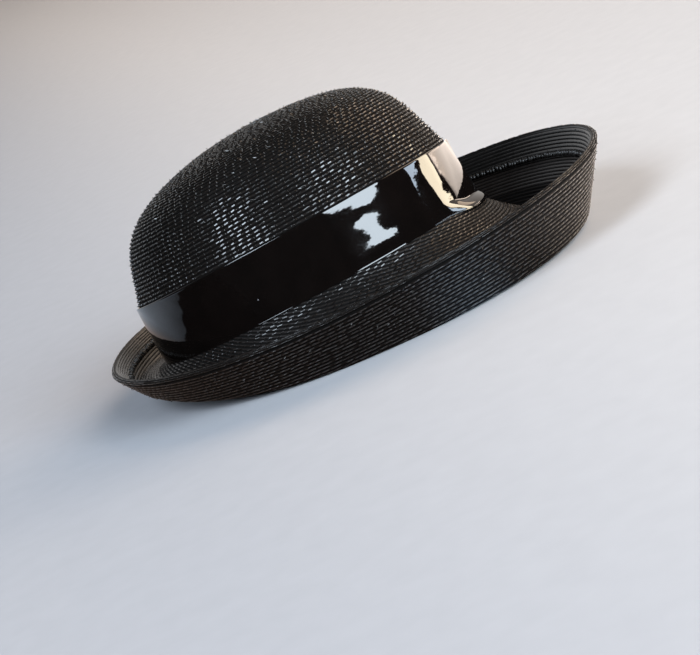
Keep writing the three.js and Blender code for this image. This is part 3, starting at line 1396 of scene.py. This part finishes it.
@dataclass(frozen=True)
class BrimShape:
    """The brim's section all round: a shelf from the break, a turn and a wall to the rim."""

    rim: Oval = Oval(front=166.0, back=140.0, side=140.0, squareness=2.08)
    sections: tuple[BrimSection, ...] = (
        BrimSection(0, 43.2, 25.4, 2.8, 3.6, 17.5),
        BrimSection(30, 41.4, 26.6, 1.5, 3.4, 17.5),
        BrimSection(60, 37, 28.6, 0, 2.6, 17.3),
        BrimSection(90, 32.4, 29, 0, 1.8, 16.6),
        BrimSection(120, 29.6, 26, 3.4, 1.6, 15),
        BrimSection(150, 28.6, 18.4, 10.2, 1.3, 12.6),
        BrimSection(180, 28.4, 13.6, 13.4, 1, 11.6),
    )
    turn_radius: float = 6.0
    turn_flat: float = 14.0

    def measure(self, angle: Array, name: str) -> Array:
        """One of the sections' measures, on a smooth curve that is the same on both sides.

        Args:
            angle: Angles from the front.
            name: The measure's name.

        Returns:
            The measure at each angle.
        """
        rows = [self.sections[1], *self.sections, self.sections[-2]]
        places = np.arange(-1, len(self.sections) + 1) * self.sections[1].angle
        values = np.array([getattr(row, name) for row in rows], dtype=float)
        turned_by = np.degrees(angle) % 360
        return smooth_through(np.minimum(turned_by, 360 - turned_by), places, values)

    def line(self, angle: Array) -> BrimLine:
        """The section at each angle.

        Args:
            angle: Angles from the front.

        Returns:
            The section's points and lengths.
        """
        reach = BAND_TOP.reach(angle) - WALLS.patent - WALLS.gap - WALLS.straw / 2
        start = LEAN.to_hat(ring_points(angle, reach, -BREAK_DROP - WALLS.gap - WALLS.straw))
        across = ring_points(angle, self.rim.reach(angle), 0.0)
        across[..., 1] += (self.rim.front - self.rim.back) / 2
        across -= start
        across[..., 2] = 0
        width = np.linalg.norm(across, axis=-1)
        inner = np.stack([np.zeros_like(width), start[..., 2]], axis=-1)
        edge = np.stack([width, self.measure(angle, "rim_height")], axis=-1)
        flat = self.turn_radius * math.cos(math.radians(self.turn_flat))
        lift = np.maximum(self.measure(angle, "lift"), 0.0)
        turn = np.stack([width - self.measure(angle, "flare"), lift + flat], axis=-1)
        shelf_angle, wall_angle = self._contact(inner - turn, 1.0), self._contact(edge - turn, -1.0)
        shelf_end = turn + self.turn_radius * self._circle(shelf_angle)
        wall_end = turn + self.turn_radius * self._circle(wall_angle)
        return BrimLine(
            start=start,
            direction=unit(across),
            inner=inner,
            edge=edge,
            up=unit(edge - wall_end),
            turn=turn,
            wall_angle=wall_angle,
            shelf_end=shelf_end,
            wall=np.linalg.norm(edge - wall_end, axis=-1),
            arc=self.turn_radius * (wall_angle - shelf_angle),
            shelf=np.linalg.norm(shelf_end - inner, axis=-1),
            sag=self.measure(angle, "sag"),
        )

    def _contact(self, away: Array, side: float) -> Array:
        """Where a line from a point meets the turn's circle.

        Args:
            away: The point, from the circle's middle.
            side: 1 or -1, the side of the circle that the line meets.

        Returns:
            The angle on the circle.
        """
        angle = np.arctan2(away[..., 1], away[..., 0])
        spread = np.arccos(self.turn_radius / np.linalg.norm(away, axis=-1))
        return (angle + side * spread) % TURN

    @staticmethod
    def _circle(angle: Array) -> Array:
        """Directions in the section's plane."""
        return np.stack([np.cos(angle), np.sin(angle)], axis=-1)

    def point(self, down: Array, angle: Array, inset: Array) -> Array:
        """Points by distance from the rim along the section, angle and depth in the wall.

        Args:
            down: Distances from the rim down the wall, round the turn and up the shelf.
            angle: Angles from the front.
            inset: Depths from the outer face.

        Returns:
            Points of the hat.
        """
        line = self.line(angle)
        inward = np.stack([-line.up[..., 1], line.up[..., 0]], axis=-1)
        deep = np.asarray(inset)[..., None]
        wall = line.edge - line.up * down[..., None] + inward * deep
        at = line.wall_angle - np.clip(down - line.wall, 0, line.arc) / self.turn_radius
        from_down = at - STRAIGHT_DOWN
        flat = math.radians(self.turn_flat)
        level = np.where(np.abs(from_down) < flat, math.cos(flat) / np.cos(from_down), 1.0)
        bend = line.turn + self._circle(at) * (self.turn_radius * level - inset)[..., None]
        t = 1 - np.clip(down - line.wall - line.arc, 0, line.shelf) / line.shelf
        chord = line.shelf_end - line.inner
        normal = unit(np.stack([-chord[..., 1], chord[..., 0]], axis=-1))
        slope = 4 * line.sag * (1 - 2 * t) / line.shelf
        raised = unit(normal + unit(chord) * slope[..., None])
        bow = (4 * line.sag * t * (1 - t))[..., None]
        shelf = line.inner + chord * t[..., None] - normal * bow + raised * deep
        on_wall = (down < line.wall)[..., None]
        on_turn = (down < line.wall + line.arc)[..., None]
        flat_point = np.where(on_wall, wall, np.where(on_turn, bend, shelf))
        place = line.start + line.direction * flat_point[..., :1]
        place[..., 2] = flat_point[..., 1]
        return place


BRIM = BrimShape()


@dataclass(frozen=True)
class BrimOuterFace(RowSurface):
    """The brim's lower and outer face, as rows counted from the rim."""

    tuck: float = 0.55

    def point(self, down: Array, angle: Array, offset: Array) -> Array:
        """Points by distance from the rim, angle and distance off the face.

        Args:
            down: Distances from the rim.
            angle: Angles from the front.
            offset: Distances off the face, less on the turn that the hat rests on.

        Returns:
            Points of the hat.
        """
        line = BRIM.line(angle)
        share = np.clip((down - line.wall) / line.arc, 0, 1)
        tucked = self.tuck * np.sin(math.pi * share) ** 2
        return BRIM.point(down, angle, tucked - np.asarray(offset))

    def shown(self, down: Array, angle: Array) -> Array:
        """Strands show on the wall and round the turn."""
        line = BRIM.line(angle)
        return down < line.wall + line.arc


@dataclass(frozen=True)
class BrimUpperFace(RowSurface):
    """The brim's inner and upper face, as rows counted from the rim."""

    under_band: float = 2.4
    from_band: tuple[float, ...] = (4.4, 6.4, 13.0, 17.0)
    flatter: tuple[float, ...] = (0.0, 15.0, 15.0, 9.0)

    def point(self, down: Array, angle: Array, offset: Array) -> Array:
        """Points by distance from the rim, angle and distance off the face."""
        return BRIM.point(down, angle, WALLS.straw + np.asarray(offset))

    def shown(self, down: Array, angle: Array) -> Array:
        """Strands show from the middle of the turn to the band's skirt."""
        line = BRIM.line(angle)
        return (down > line.wall + line.arc / 2) & (down < line.total - self.under_band)

    def lift(self, down: Array, angle: Array) -> Array:
        """Strands lie flatter than the shelf, apart from those along the band."""
        away = BRIM.line(angle).total - self.under_band - down
        return np.interp(away, self.from_band, self.flatter)


@dataclass
class Brim(Piece):
    """The brim: rows of braid at one width from the rim in, until the band covers them."""

    node: ClassVar[Node] = Node.BRIM
    slot: ClassVar[Slot] = Slot.STRAW
    pitch: float = 2.75
    rows: int = 40
    upper_pitch: float = 2.05
    upper_rows: int = 54
    columns: int = 108
    sink: float = 0.5
    wall_relief: RowRelief = RowRelief(
        places=(0.14, 0.32, 0.62, 0.86), rises=(0.0, 0.52, 0.54, 0.04)
    )
    upper_relief: RowRelief = RowRelief(
        places=(0.12, 0.34, 0.64, 0.88), rises=(0.0, 0.4, 0.42, 0.03)
    )
    under_relief: RowRelief = RowRelief(places=(0.06, 0.5), rises=(0.0, 0.3))
    wall_strand: Strand = Strand(
        period=5.2, length=5.0, width=0.76, height=0.5, place=0.42, offset=-0.06,
        scatter=1.2, slant=3.0, shade=(0.45, 1.0),
    )
    shelf_strand: Strand = Strand(
        period=4.6, length=3.3, width=0.45, height=0.4, place=0.48, offset=-0.1,
        scatter=2.6, slant=18.0, stray=0.02, shade=(0.1, 0.45),
    )
    wall_rows: int = 19
    inner_wall_rows: int = 16
    end_rows: int = 9
    layout_radius: float = 120.0
    seed: int = 52

    def rings(self) -> list[tuple[float, float, float]]:
        """Rings of the sheet, outside then inside.

        Returns:
            Distance from the rim, depth and shade of each ring.
        """
        top = WALLS.facing + WALLS.gap
        rings = [(top, WALLS.straw / 2, 0.0), (top, self.sink, 0.0)]
        for row in range(1, self.rows):
            relief = self.wall_relief if row < self.wall_rows else self.under_relief
            for place, rise in relief.steps(Overlap.FAR_EDGE):
                shade = RIDGE_SHADE if rise > RIDGE_RISE else 0.0
                rings.append(((row + place) * self.pitch, self.sink - rise, shade))
        inner = WALLS.straw - self.sink
        for row in reversed(range(1, self.upper_rows)):
            lit = 1.0 if row < self.inner_wall_rows else RIDGE_SHADE
            for place, rise in reversed(self.upper_relief.steps(Overlap.NEAR_EDGE)):
                shade = lit if rise > RIDGE_RISE else 0.0
                rings.append(((row + place) * self.upper_pitch, inner + rise, shade))
        return [*rings, (top, inner, 0.0), rings[0]]

    def build(self) -> bpy.types.Object:
        """Models the brim.

        Returns:
            The brim's object.
        """
        rng = np.random.default_rng(self.seed)
        rings = np.array(self.rings())
        down, angle, inset = ring_grid(rings, self.columns)
        points = BRIM.point(np.minimum(down, BRIM.line(angle).total), angle, inset)
        sheet = ring_sheet("brim_sheet", points, rings[:, 0], self.layout_radius, rings[:, 2])
        wall, shelf, ends = StrandBatch(), StrandBatch(), StrandBatch()
        outer, upper = BrimOuterFace(), BrimUpperFace()
        for row in range(1, self.wall_rows):
            wall.lay_row(outer, row, self.pitch, self.wall_strand, rng)
        for row in range(1, self.upper_rows):
            shelf.lay_row(upper, row, self.upper_pitch, self.shelf_strand, rng)
        for row in range(1, self.end_rows):
            ends.lay_row(outer, row, self.pitch, STRAW_END, rng)
        parts = [
            sheet,
            wall.to_object("brim_wall_strands", StrandShape.ROUND),
            shelf.to_object("brim_shelf_strands", StrandShape.FLAT),
            ends.to_object("brim_straw_ends", StrandShape.FLAT),
        ]
        return join_pieces(parts, "brim_straw")


class FacingFront(RowSurface):
    """The facing's shown face, as rows counted down from the rim by share of its depth."""

    def point(self, down: Array, angle: Array, offset: Array) -> Array:
        """Points by share of the facing's depth, angle and distance off the face."""
        depth = BRIM.measure(angle, "facing")
        return BRIM.point(down * depth, angle, WALLS.fold + np.asarray(offset))


@dataclass(frozen=True)
class RimFold(RowSurface):
    """The round of the fold over the rim, from its outer to its inner face."""

    rise: float = 1.1

    def point(self, down: Array, angle: Array, offset: Array) -> Array:
        """Points by share of the way over the fold, angle and distance off the face.

        Args:
            down: Shares of the way over the fold.
            angle: Angles from the front.
            offset: Distances off the face.

        Returns:
            Points of the hat.
        """
        half, swing = WALLS.fold / 2, math.pi * np.asarray(down)
        inset = half - (half + offset) * np.cos(swing)
        drop = self.rise - (self.rise + offset) * np.sin(swing)
        return BRIM.point(drop, angle, inset)


@dataclass
class Facing(Piece):
    """The straw facing: a fold over the rim, cords down the wall and a ticked lower edge.

    Attributes:
        lap: Depth of the fold's lower edge in the brim's outer face.
        first_place: Where the first row comes out from under the fold.
        fold_across: Width of the fold where the rows are laid out flat.
        face_across: Width of the shown face there.
        back_across: Distances of the back's rings there, from the lower edge on.
    """

    node: ClassVar[Node] = Node.FACING
    slot: ClassVar[Slot] = Slot.FACING
    rows: int = 8
    columns: int = 180
    fold_cords: int = 4
    fold_steps: int = 25
    cord_crest: float = 0.4
    sink: float = 0.45
    lap: float = 0.2
    first_place: float = 0.6
    face_shade: float = 0.5
    fold_across: float = 4.0
    face_across: float = 17.0
    back_across: tuple[float, ...] = (0.0, 1.0, 9.0, 17.0, 19.0)
    layout_radius: float = 145.0
    relief: RowRelief = RowRelief(
        places=(0.05, 0.22, 0.48, 0.74, 0.94), rises=(0.0, 0.45, 0.62, 0.5, 0.05)
    )
    hair: Strand = Strand(
        period=7.0, length=4.6, width=0.5, height=0.3, place=0.45, offset=0.0,
        scatter=1.5, slant=2.0, stray=0.02,
    )
    rim_cord: Strand = Strand(
        period=8.0, length=8.2, width=0.5, height=0.45, place=0.7, offset=-0.05,
        scatter=0.7, shade=(0.0, 0.3),
    )
    tick: Strand = Strand(
        period=2.5, length=1.6, width=3.6, height=1.4, place=0.5, offset=0.4,
        scatter=4.0, shade=(0.6, 1.0),
    )
    rim_cords: int = 3
    rim_rows: float = 4.5
    seed: int = 63

    def rings(self, angle: Array) -> list[tuple[Array, float, float]]:
        """Rings of the sheet, from the fold's outer edge over the face and up the back.

        Args:
            angle: Angles from the front.

        Returns:
            Points, distance across the rows and shade of each ring.
        """
        flat = np.ones_like(angle)
        fold, front = RimFold(), FacingFront()
        top = WALLS.facing * flat
        rings = [(BRIM.point(top, angle, self.lap * flat), 0.0, 0.0)]
        for step in range(self.fold_steps):
            share = step / (self.fold_steps - 1)
            cord = abs(math.sin(math.pi * self.fold_cords * share))
            ring = fold.point(share * flat, angle, self.sink * (cord - 1) * flat)
            # The fold takes the bed: near-black painted shade in its valleys, fibres on its cords.
            shade = RIDGE_SHADE if cord > self.cord_crest else 0.0
            rings.append((ring, self.fold_across * share, shade))
        for row in range(self.rows):
            for place, rise in self.relief.steps(Overlap.FAR_EDGE):
                if row == 0 and place <= self.first_place:
                    continue
                share = (row + place) / self.rows
                ring = front.point(share * flat, angle, (rise - self.sink) * flat)
                # The last row, along the ticks, takes the bed: a near-black strip of painted
                # shadow.
                lit = rise > RIDGE_RISE and row < self.rows - 1
                across = self.fold_across + self.face_across * share
                rings.append((ring, across, self.face_shade if lit else 0.0))
        back = (WALLS.straw + WALLS.gap) * flat
        depth = BRIM.measure(angle, "facing")
        closing = [
            BRIM.point(depth, angle, back + WALLS.facing / 2),
            BRIM.point(depth, angle, back),
            BRIM.point(depth / 2, angle, back),
            BRIM.point(top, angle, back),
            rings[0][0],
        ]
        edge = self.fold_across + self.face_across
        return rings + [(ring, edge + on, 0.0) for ring, on in zip(closing, self.back_across)]

    def build(self) -> bpy.types.Object:
        """Models the facing.

        Returns:
            The facing's object.
        """
        rng = np.random.default_rng(self.seed)
        rings, across, shades = zip(*self.rings(all_round(self.columns)))
        sheet = ring_sheet(
            "facing_sheet", np.stack(rings), np.array(across), self.layout_radius, np.array(shades)
        )
        strands = StrandBatch()
        front, fold = FacingFront(), RimFold()
        for row in range(self.rim_cords):
            strands.lay_row(fold, row, 1 / self.rim_rows, self.rim_cord, rng)
        for row in range(1, self.rows - 1):
            strands.lay_row(front, row, 1 / self.rows, self.hair, rng)
        strands.lay_row(front, self.rows - 1, 1 / self.rows, self.tick, rng)
        parts = [sheet, strands.to_object("facing_strands", StrandShape.ROUND)]
        return join_pieces(parts, "facing_rows")


@dataclass(frozen=True)
class Ledge:
    """A soft ledge in the band's face, which leans back a little over a short height.

    Attributes:
        angle: Angle of its middle from the front.
        height: Height of its middle above the band's upper edge.
        width: How far it reaches to each side, in degrees.
        tall: How far it reaches up and down.
        lean: How far it leans back, in degrees.
    """

    angle: float
    height: float
    width: float
    tall: float
    lean: float


@dataclass
class Band(Piece):
    """The patent band: a folded upper edge, a rippled face and a short flared skirt.

    Attributes:
        crease: Height of the crease between face and skirt above the upper edge.
        crease_drop: How much lower the crease lies at the front.
        skirt_out: How far the skirt stands out at the front.
        flare_span: Angles from the front between which the flare fades.
        hem_out: How far the hem's roll stands out from the skirt.
        hem_tall: Height of the skirt's foot above the roll's middle.
        hem_half: Half thickness of the roll.
        hem_turn: Share of the skirt's height at which it leaves the hem.
        skirt_clear: Clearance of the hem above the brim.
        ripple: Height of each of the face's slight waves.
        ripple_rounds: Least number of waves round the band, and the number that none reaches.
        ripple_slant: Greatest slant of a wave.
    """

    node: ClassVar[Node] = Node.BAND
    slot: ClassVar[Slot] = Slot.PATENT
    crease: float = -28.5
    crease_drop: float = 5.0
    skirt_out: float = 3.6
    flare_span: Span = (16.0, 32.0)
    hem_out: float = 0.12
    hem_tall: float = 0.25
    hem_half: float = 0.25
    hem_turn: float = 0.03
    skirt_clear: float = 0.25
    columns: int = 360
    face_steps: int = 30
    skirt_steps: int = 14
    edge_steps: int = 6
    hem_steps: int = 4
    ripple: float = 0.0125
    ripples: int = 10
    ripple_rounds: tuple[int, int] = (5, 30)
    ripple_slant: float = 0.14
    ledges: tuple[Ledge, ...] = (
        Ledge(57, -2, 4, 5, 1.7),
        Ledge(64.5, 0.5, 6, 3.6, 1.9),
        Ledge(60, -10, 6, 2.6, -0.9),
        Ledge(60.5, -15.5, 4.2, 3.2, 1.9),
        Ledge(59.5, -22, 2.6, 3.4, 1.8),
        Ledge(58, -27.5, 6.5, 3.4, 2.2),
        Ledge(36, -0.5, 4, 3, 1.8),
        Ledge(31.5, -10, 2.5, 4, 1.3),
        Ledge(26.5, -21, 2.5, 4.5, -1.2),
        Ledge(34, -6, 1.8, 2.2, 1.1),
        Ledge(28, -13, 1.8, 2.2, 1.1),
        Ledge(31, -18, 1.8, 2.2, 1.1),
        Ledge(29.5, -25, 1.8, 2.2, 1.1),
        Ledge(1, -4, 17, 26, 3.6),
        Ledge(-5, -21, 11, 12, 3.2),
    )
    shade: float = 0.5
    layout_radius: float = 92.0
    seed: int = 74

    def waves(self, angle: Array, height: Array) -> Array:
        """How far the face stands off its even shape.

        Args:
            angle: Angles from the front.
            height: Heights above the upper edge, negative on the band.

        Returns:
            Distances off the even face.
        """
        rng = np.random.default_rng(self.seed)
        off = np.zeros(np.broadcast(angle, height).shape)
        for _ in range(self.ripples):
            rounds = rng.integers(*self.ripple_rounds)
            slant = rng.uniform(-self.ripple_slant, self.ripple_slant)
            phase = rng.uniform(0, TURN)
            off = off + np.sin(rounds * angle + slant * height + phase) * self.ripple
        for ledge in self.ledges:
            around = (np.degrees(angle) - ledge.angle) / ledge.width
            up = (height - ledge.height) / ledge.tall
            step = math.tan(math.radians(ledge.lean)) * ledge.tall
            off = off - step * np.tanh(up) * np.exp(-(around**2))
        return off

    def loop(self, angle: Array) -> Array:
        """The section's rings, closed, on the crown's own axes.

        Args:
            angle: Angles from the front.

        Returns:
            Rings of points.
        """
        reach = BAND_TOP.reach(angle)
        inside = reach - WALLS.patent
        half = WALLS.patent / 2
        flat = np.ones_like(angle)
        flare = self.flare(angle)
        floor = self._shelf_height(angle) + self.skirt_clear
        edge = floor + self.hem_half + self.hem_tall
        crease = self.crease - self.crease_drop * self.fronted(angle)
        hem = reach + flare + self.waves(angle, edge)
        rings = [(inside, -half * flat), (inside, crease)]
        for step in range(self.hem_steps + 1):
            swing = math.pi * step / self.hem_steps
            out = -self.hem_half - self.hem_half * math.cos(swing)
            low = self.hem_half * (1 - math.sin(swing))
            rings.append((hem + self.hem_out + out, floor + low))
        rings.append((hem, edge))
        for t in (self.hem_turn, *np.linspace(0, 1, self.skirt_steps + 1)[1:]):
            height = edge * (1 - t) + crease * t
            bell = math.sin(math.pi / 2 * (1 - t))
            rings.append((reach + flare * bell + self.waves(angle, height), height))
        for step in range(1, self.face_steps + 1):
            t = step / self.face_steps
            height = crease * (1 - t) - half * t
            rings.append((reach + self.waves(angle, height), height))
        crest = self.waves(angle, -half * flat)
        for step in range(1, self.edge_steps):
            swing = math.pi * step / self.edge_steps
            turn_in = half * (1 - math.cos(swing))
            keep = 1 - step / self.edge_steps
            rings.append((reach - turn_in + crest * keep, flat * half * (math.sin(swing) - 1)))
        rings.append(rings[0])
        return np.stack([ring_points(angle, out, height) for out, height in rings])

    def fronted(self, angle: Array) -> Array:
        """How much of the front's flare an angle has.

        Args:
            angle: Angles from the front.

        Returns:
            1 at the front, fading to 0 where the flared part of the skirt ends.
        """
        start, end = self.flare_span
        aside = np.degrees(np.abs((angle + math.pi) % TURN - math.pi))
        share = np.clip((end - aside) / (end - start), 0, 1)
        return share * share * (3 - 2 * share)

    def flare(self, angle: Array) -> Array:
        """How far the skirt stands out at each angle, most at the front."""
        return self.skirt_out * self.fronted(angle)

    def _shelf_height(self, angle: Array) -> Array:
        """Height of the brim's upper face under the skirt's edge, on the crown's own axes.

        Args:
            angle: Angles from the front.

        Returns:
            The height at each angle.
        """
        from_break = self.flare(angle) + WALLS.patent + WALLS.gap + WALLS.straw / 2
        down = BRIM.line(angle).total - from_break
        shelf = BRIM.point(down, angle, np.full_like(angle, WALLS.straw))
        return LEAN.to_crown(shelf)[..., 2]

    def build(self) -> bpy.types.Object:
        """Models the band.

        Returns:
            The band's object.
        """
        rings = self.loop(all_round(self.columns))
        across = travelled(rings[:, 0])
        shade = np.full(len(across), self.shade)
        return ring_sheet("band_patent", LEAN.to_hat(rings), across, self.layout_radius, shade)


# The studio


@dataclass(frozen=True)
class Panel:
    """A soft light panel, placed by the direction in which it is seen from the hat."""

    name: str
    azimuth: float
    elevation: float
    width: float
    height: float
    colour: Colour
    radiance: float


@dataclass
class Studio:
    """Floor, lights and camera round the hat.

    Attributes:
        target: What the camera looks at, in millimetres.
        distance: How far away the camera stands, in millimetres.
        slide: How far it is slid to its left and down, in millimetres.
        clip_end: How far the camera sees, in metres.
        wall_span: Between which slopes to the left the dark near side turns into the pale wall.
        wall_top: Between which slopes upwards the pale wall ends.
        wall_ends: Between which slopes to the back the wall's tint changes.
    """

    floor_size: float = 40.0
    floor_steps: int = 8
    azimuth: float = 84.1
    elevation: float = 12.4
    roll: float = -24.2
    target: tuple[float, float, float] = (0.0, 13.0, 1.2)
    distance: float = 1428.0
    slide: Span = (2.9, 8.6)
    image_width: float = 700.0
    focal_pixels: float = 2500.0
    sensor: float = 36.0
    clip_end: float = 200.0
    near_light: Colour = (0.018, 0.017, 0.017)
    back_light: Colour = (0.6, 0.63, 0.67)
    front_light: Colour = (0.68, 0.59, 0.51)
    wall_span: Span = (0.15, 0.4)
    wall_top: Span = (0.85, 0.55)
    wall_ends: Span = (-0.8, 0.8)
    panel_distance: float = 8.0
    panels: tuple[Panel, ...] = (
        Panel("key_window", 122.0, 36.0, 2.8, 4.9, (0.76, 0.87, 1.0), 13.0),
        Panel("window", 53.0, 23.2, 5.5, 4.23, (0.79, 0.9, 1.0), 13.0),
        Panel("warm_window", -27.0, 38.0, 7.8, 5.6, (1.0, 0.75, 0.54), 3.0),
        Panel("cream_strip", -16.5, 10.0, 1.6, 2.9, (1.0, 0.86, 0.64), 12.0),
        Panel("beige_card", -38.5, 2.0, 3.4, 1.1, (1.0, 0.8, 0.66), 5.5),
        Panel("blue_patch", -0.5, 7.6, 2.4, 0.75, (0.7, 0.84, 1.0), 9.0),
    )

    @staticmethod
    def direction(azimuth: float, elevation: float) -> Vector:
        """A direction from the hat.

        Args:
            azimuth: Angle from the front.
            elevation: Angle above the floor.

        Returns:
            The direction.
        """
        turn, rise = math.radians(azimuth), math.radians(elevation)
        level = math.cos(rise)
        return Vector((-math.sin(turn) * level, -math.cos(turn) * level, math.sin(rise)))

    def add_camera(self) -> None:
        """Places the camera at the photo's angle, rolled as the photo shows the hat."""
        back = self.direction(self.azimuth, self.elevation)
        right = Vector((0, 0, 1)).cross(back).normalized()
        up = back.cross(right)
        roll = math.radians(self.roll)
        across = right * math.cos(roll) + up * math.sin(roll)
        above = up * math.cos(roll) - right * math.sin(roll)
        place = Vector(self.target) + back * self.distance
        place = (place - across * self.slide[0] - above * self.slide[1]) * MM
        deselect()
        bpy.ops.object.camera_add()
        camera = bpy.context.active_object
        camera.name = "photo_camera"
        turn = Matrix((across, above, back)).transposed()
        camera.matrix_world = Matrix.Translation(place) @ turn.to_4x4()
        camera.data.sensor_width = self.sensor
        camera.data.lens = self.sensor * self.focal_pixels / self.image_width
        camera.data.clip_end = self.clip_end
        bpy.context.scene.camera = camera

    def add_floor(self) -> None:
        """Lays the floor."""
        deselect()
        steps = self.floor_steps
        bpy.ops.mesh.primitive_grid_add(
            x_subdivisions=steps, y_subdivisions=steps, size=self.floor_size
        )
        floor = bpy.context.active_object
        floor.name = "floor"
        floor.data.materials.append(FloorFinish().material())

    def add_lights(self) -> None:
        """Hangs the panels."""
        for panel in self.panels:
            deselect()
            bpy.ops.object.light_add(type="AREA")
            lamp = bpy.context.active_object
            lamp.name = panel.name
            aim = self.direction(panel.azimuth, panel.elevation)
            lamp.location = aim * self.panel_distance
            lamp.rotation_euler = aim.to_track_quat("Z", "Y").to_euler()
            lamp.data.shape = "RECTANGLE"
            lamp.data.size = panel.width
            lamp.data.size_y = panel.height
            lamp.data.color = panel.colour
            lamp.data.energy = panel.radiance * math.pi * panel.width * panel.height
            lamp.visible_camera = False

    def add_surroundings(self) -> None:
        """Sets the light that comes from all round: pale behind the hat, dark before it."""
        world = bpy.data.worlds.new("studio")
        bpy.context.scene.world = world
        world.use_nodes = True
        world.node_tree.nodes.clear()
        bench = Bench(world.node_tree)
        parts = bench.add("SeparateXYZ", Vector=bench.add("TexCoord").outputs["Generated"])
        far = bench.ramp(parts.outputs["X"], self.wall_span, smooth=True)
        low = bench.ramp(parts.outputs["Z"], self.wall_top, smooth=True)
        ends = bench.ramp(parts.outputs["Y"], self.wall_ends)
        tinted = bench.mix(ends, self.front_light, self.back_light)
        mixed = bench.mix(bench.product(far, low), self.near_light, tinted)
        light = bench.add("Background", Color=mixed, Strength=1.0)
        bench.add("OutputWorld", Surface=light.outputs[0])

    def build(self) -> None:
        """Sets up the whole studio."""
        bpy.context.scene.view_settings.view_transform = "Standard"
        self.add_surroundings()
        self.add_floor()
        self.add_lights()
        self.add_camera()


def main() -> None:
    """Builds and dresses the pieces in order, then the studio."""
    logging.basicConfig(level=logging.INFO, format="%(name)s: %(message)s")
    strands, lint = StrandLines().group(), lint_group()
    # The beds paint the valleys between the strands near-black as shade.
    bed, brim_bed_painted_shade = PaintedShadeBedFinish().material(strands), BRIM_BED_PAINTED_SHADE.material(strands)
    Crown().dress(STRAW.material(strands, lint), bed)
    Brim().dress(BRIM_STRAW.material(strands, lint), brim_bed_painted_shade)
    Facing().dress(FACING_STRAW.material(strands, lint), brim_bed_painted_shade)
    Band().dress(PatentFinish().material(lint))
    Studio().build()


if __name__ == "__main__":
    main()
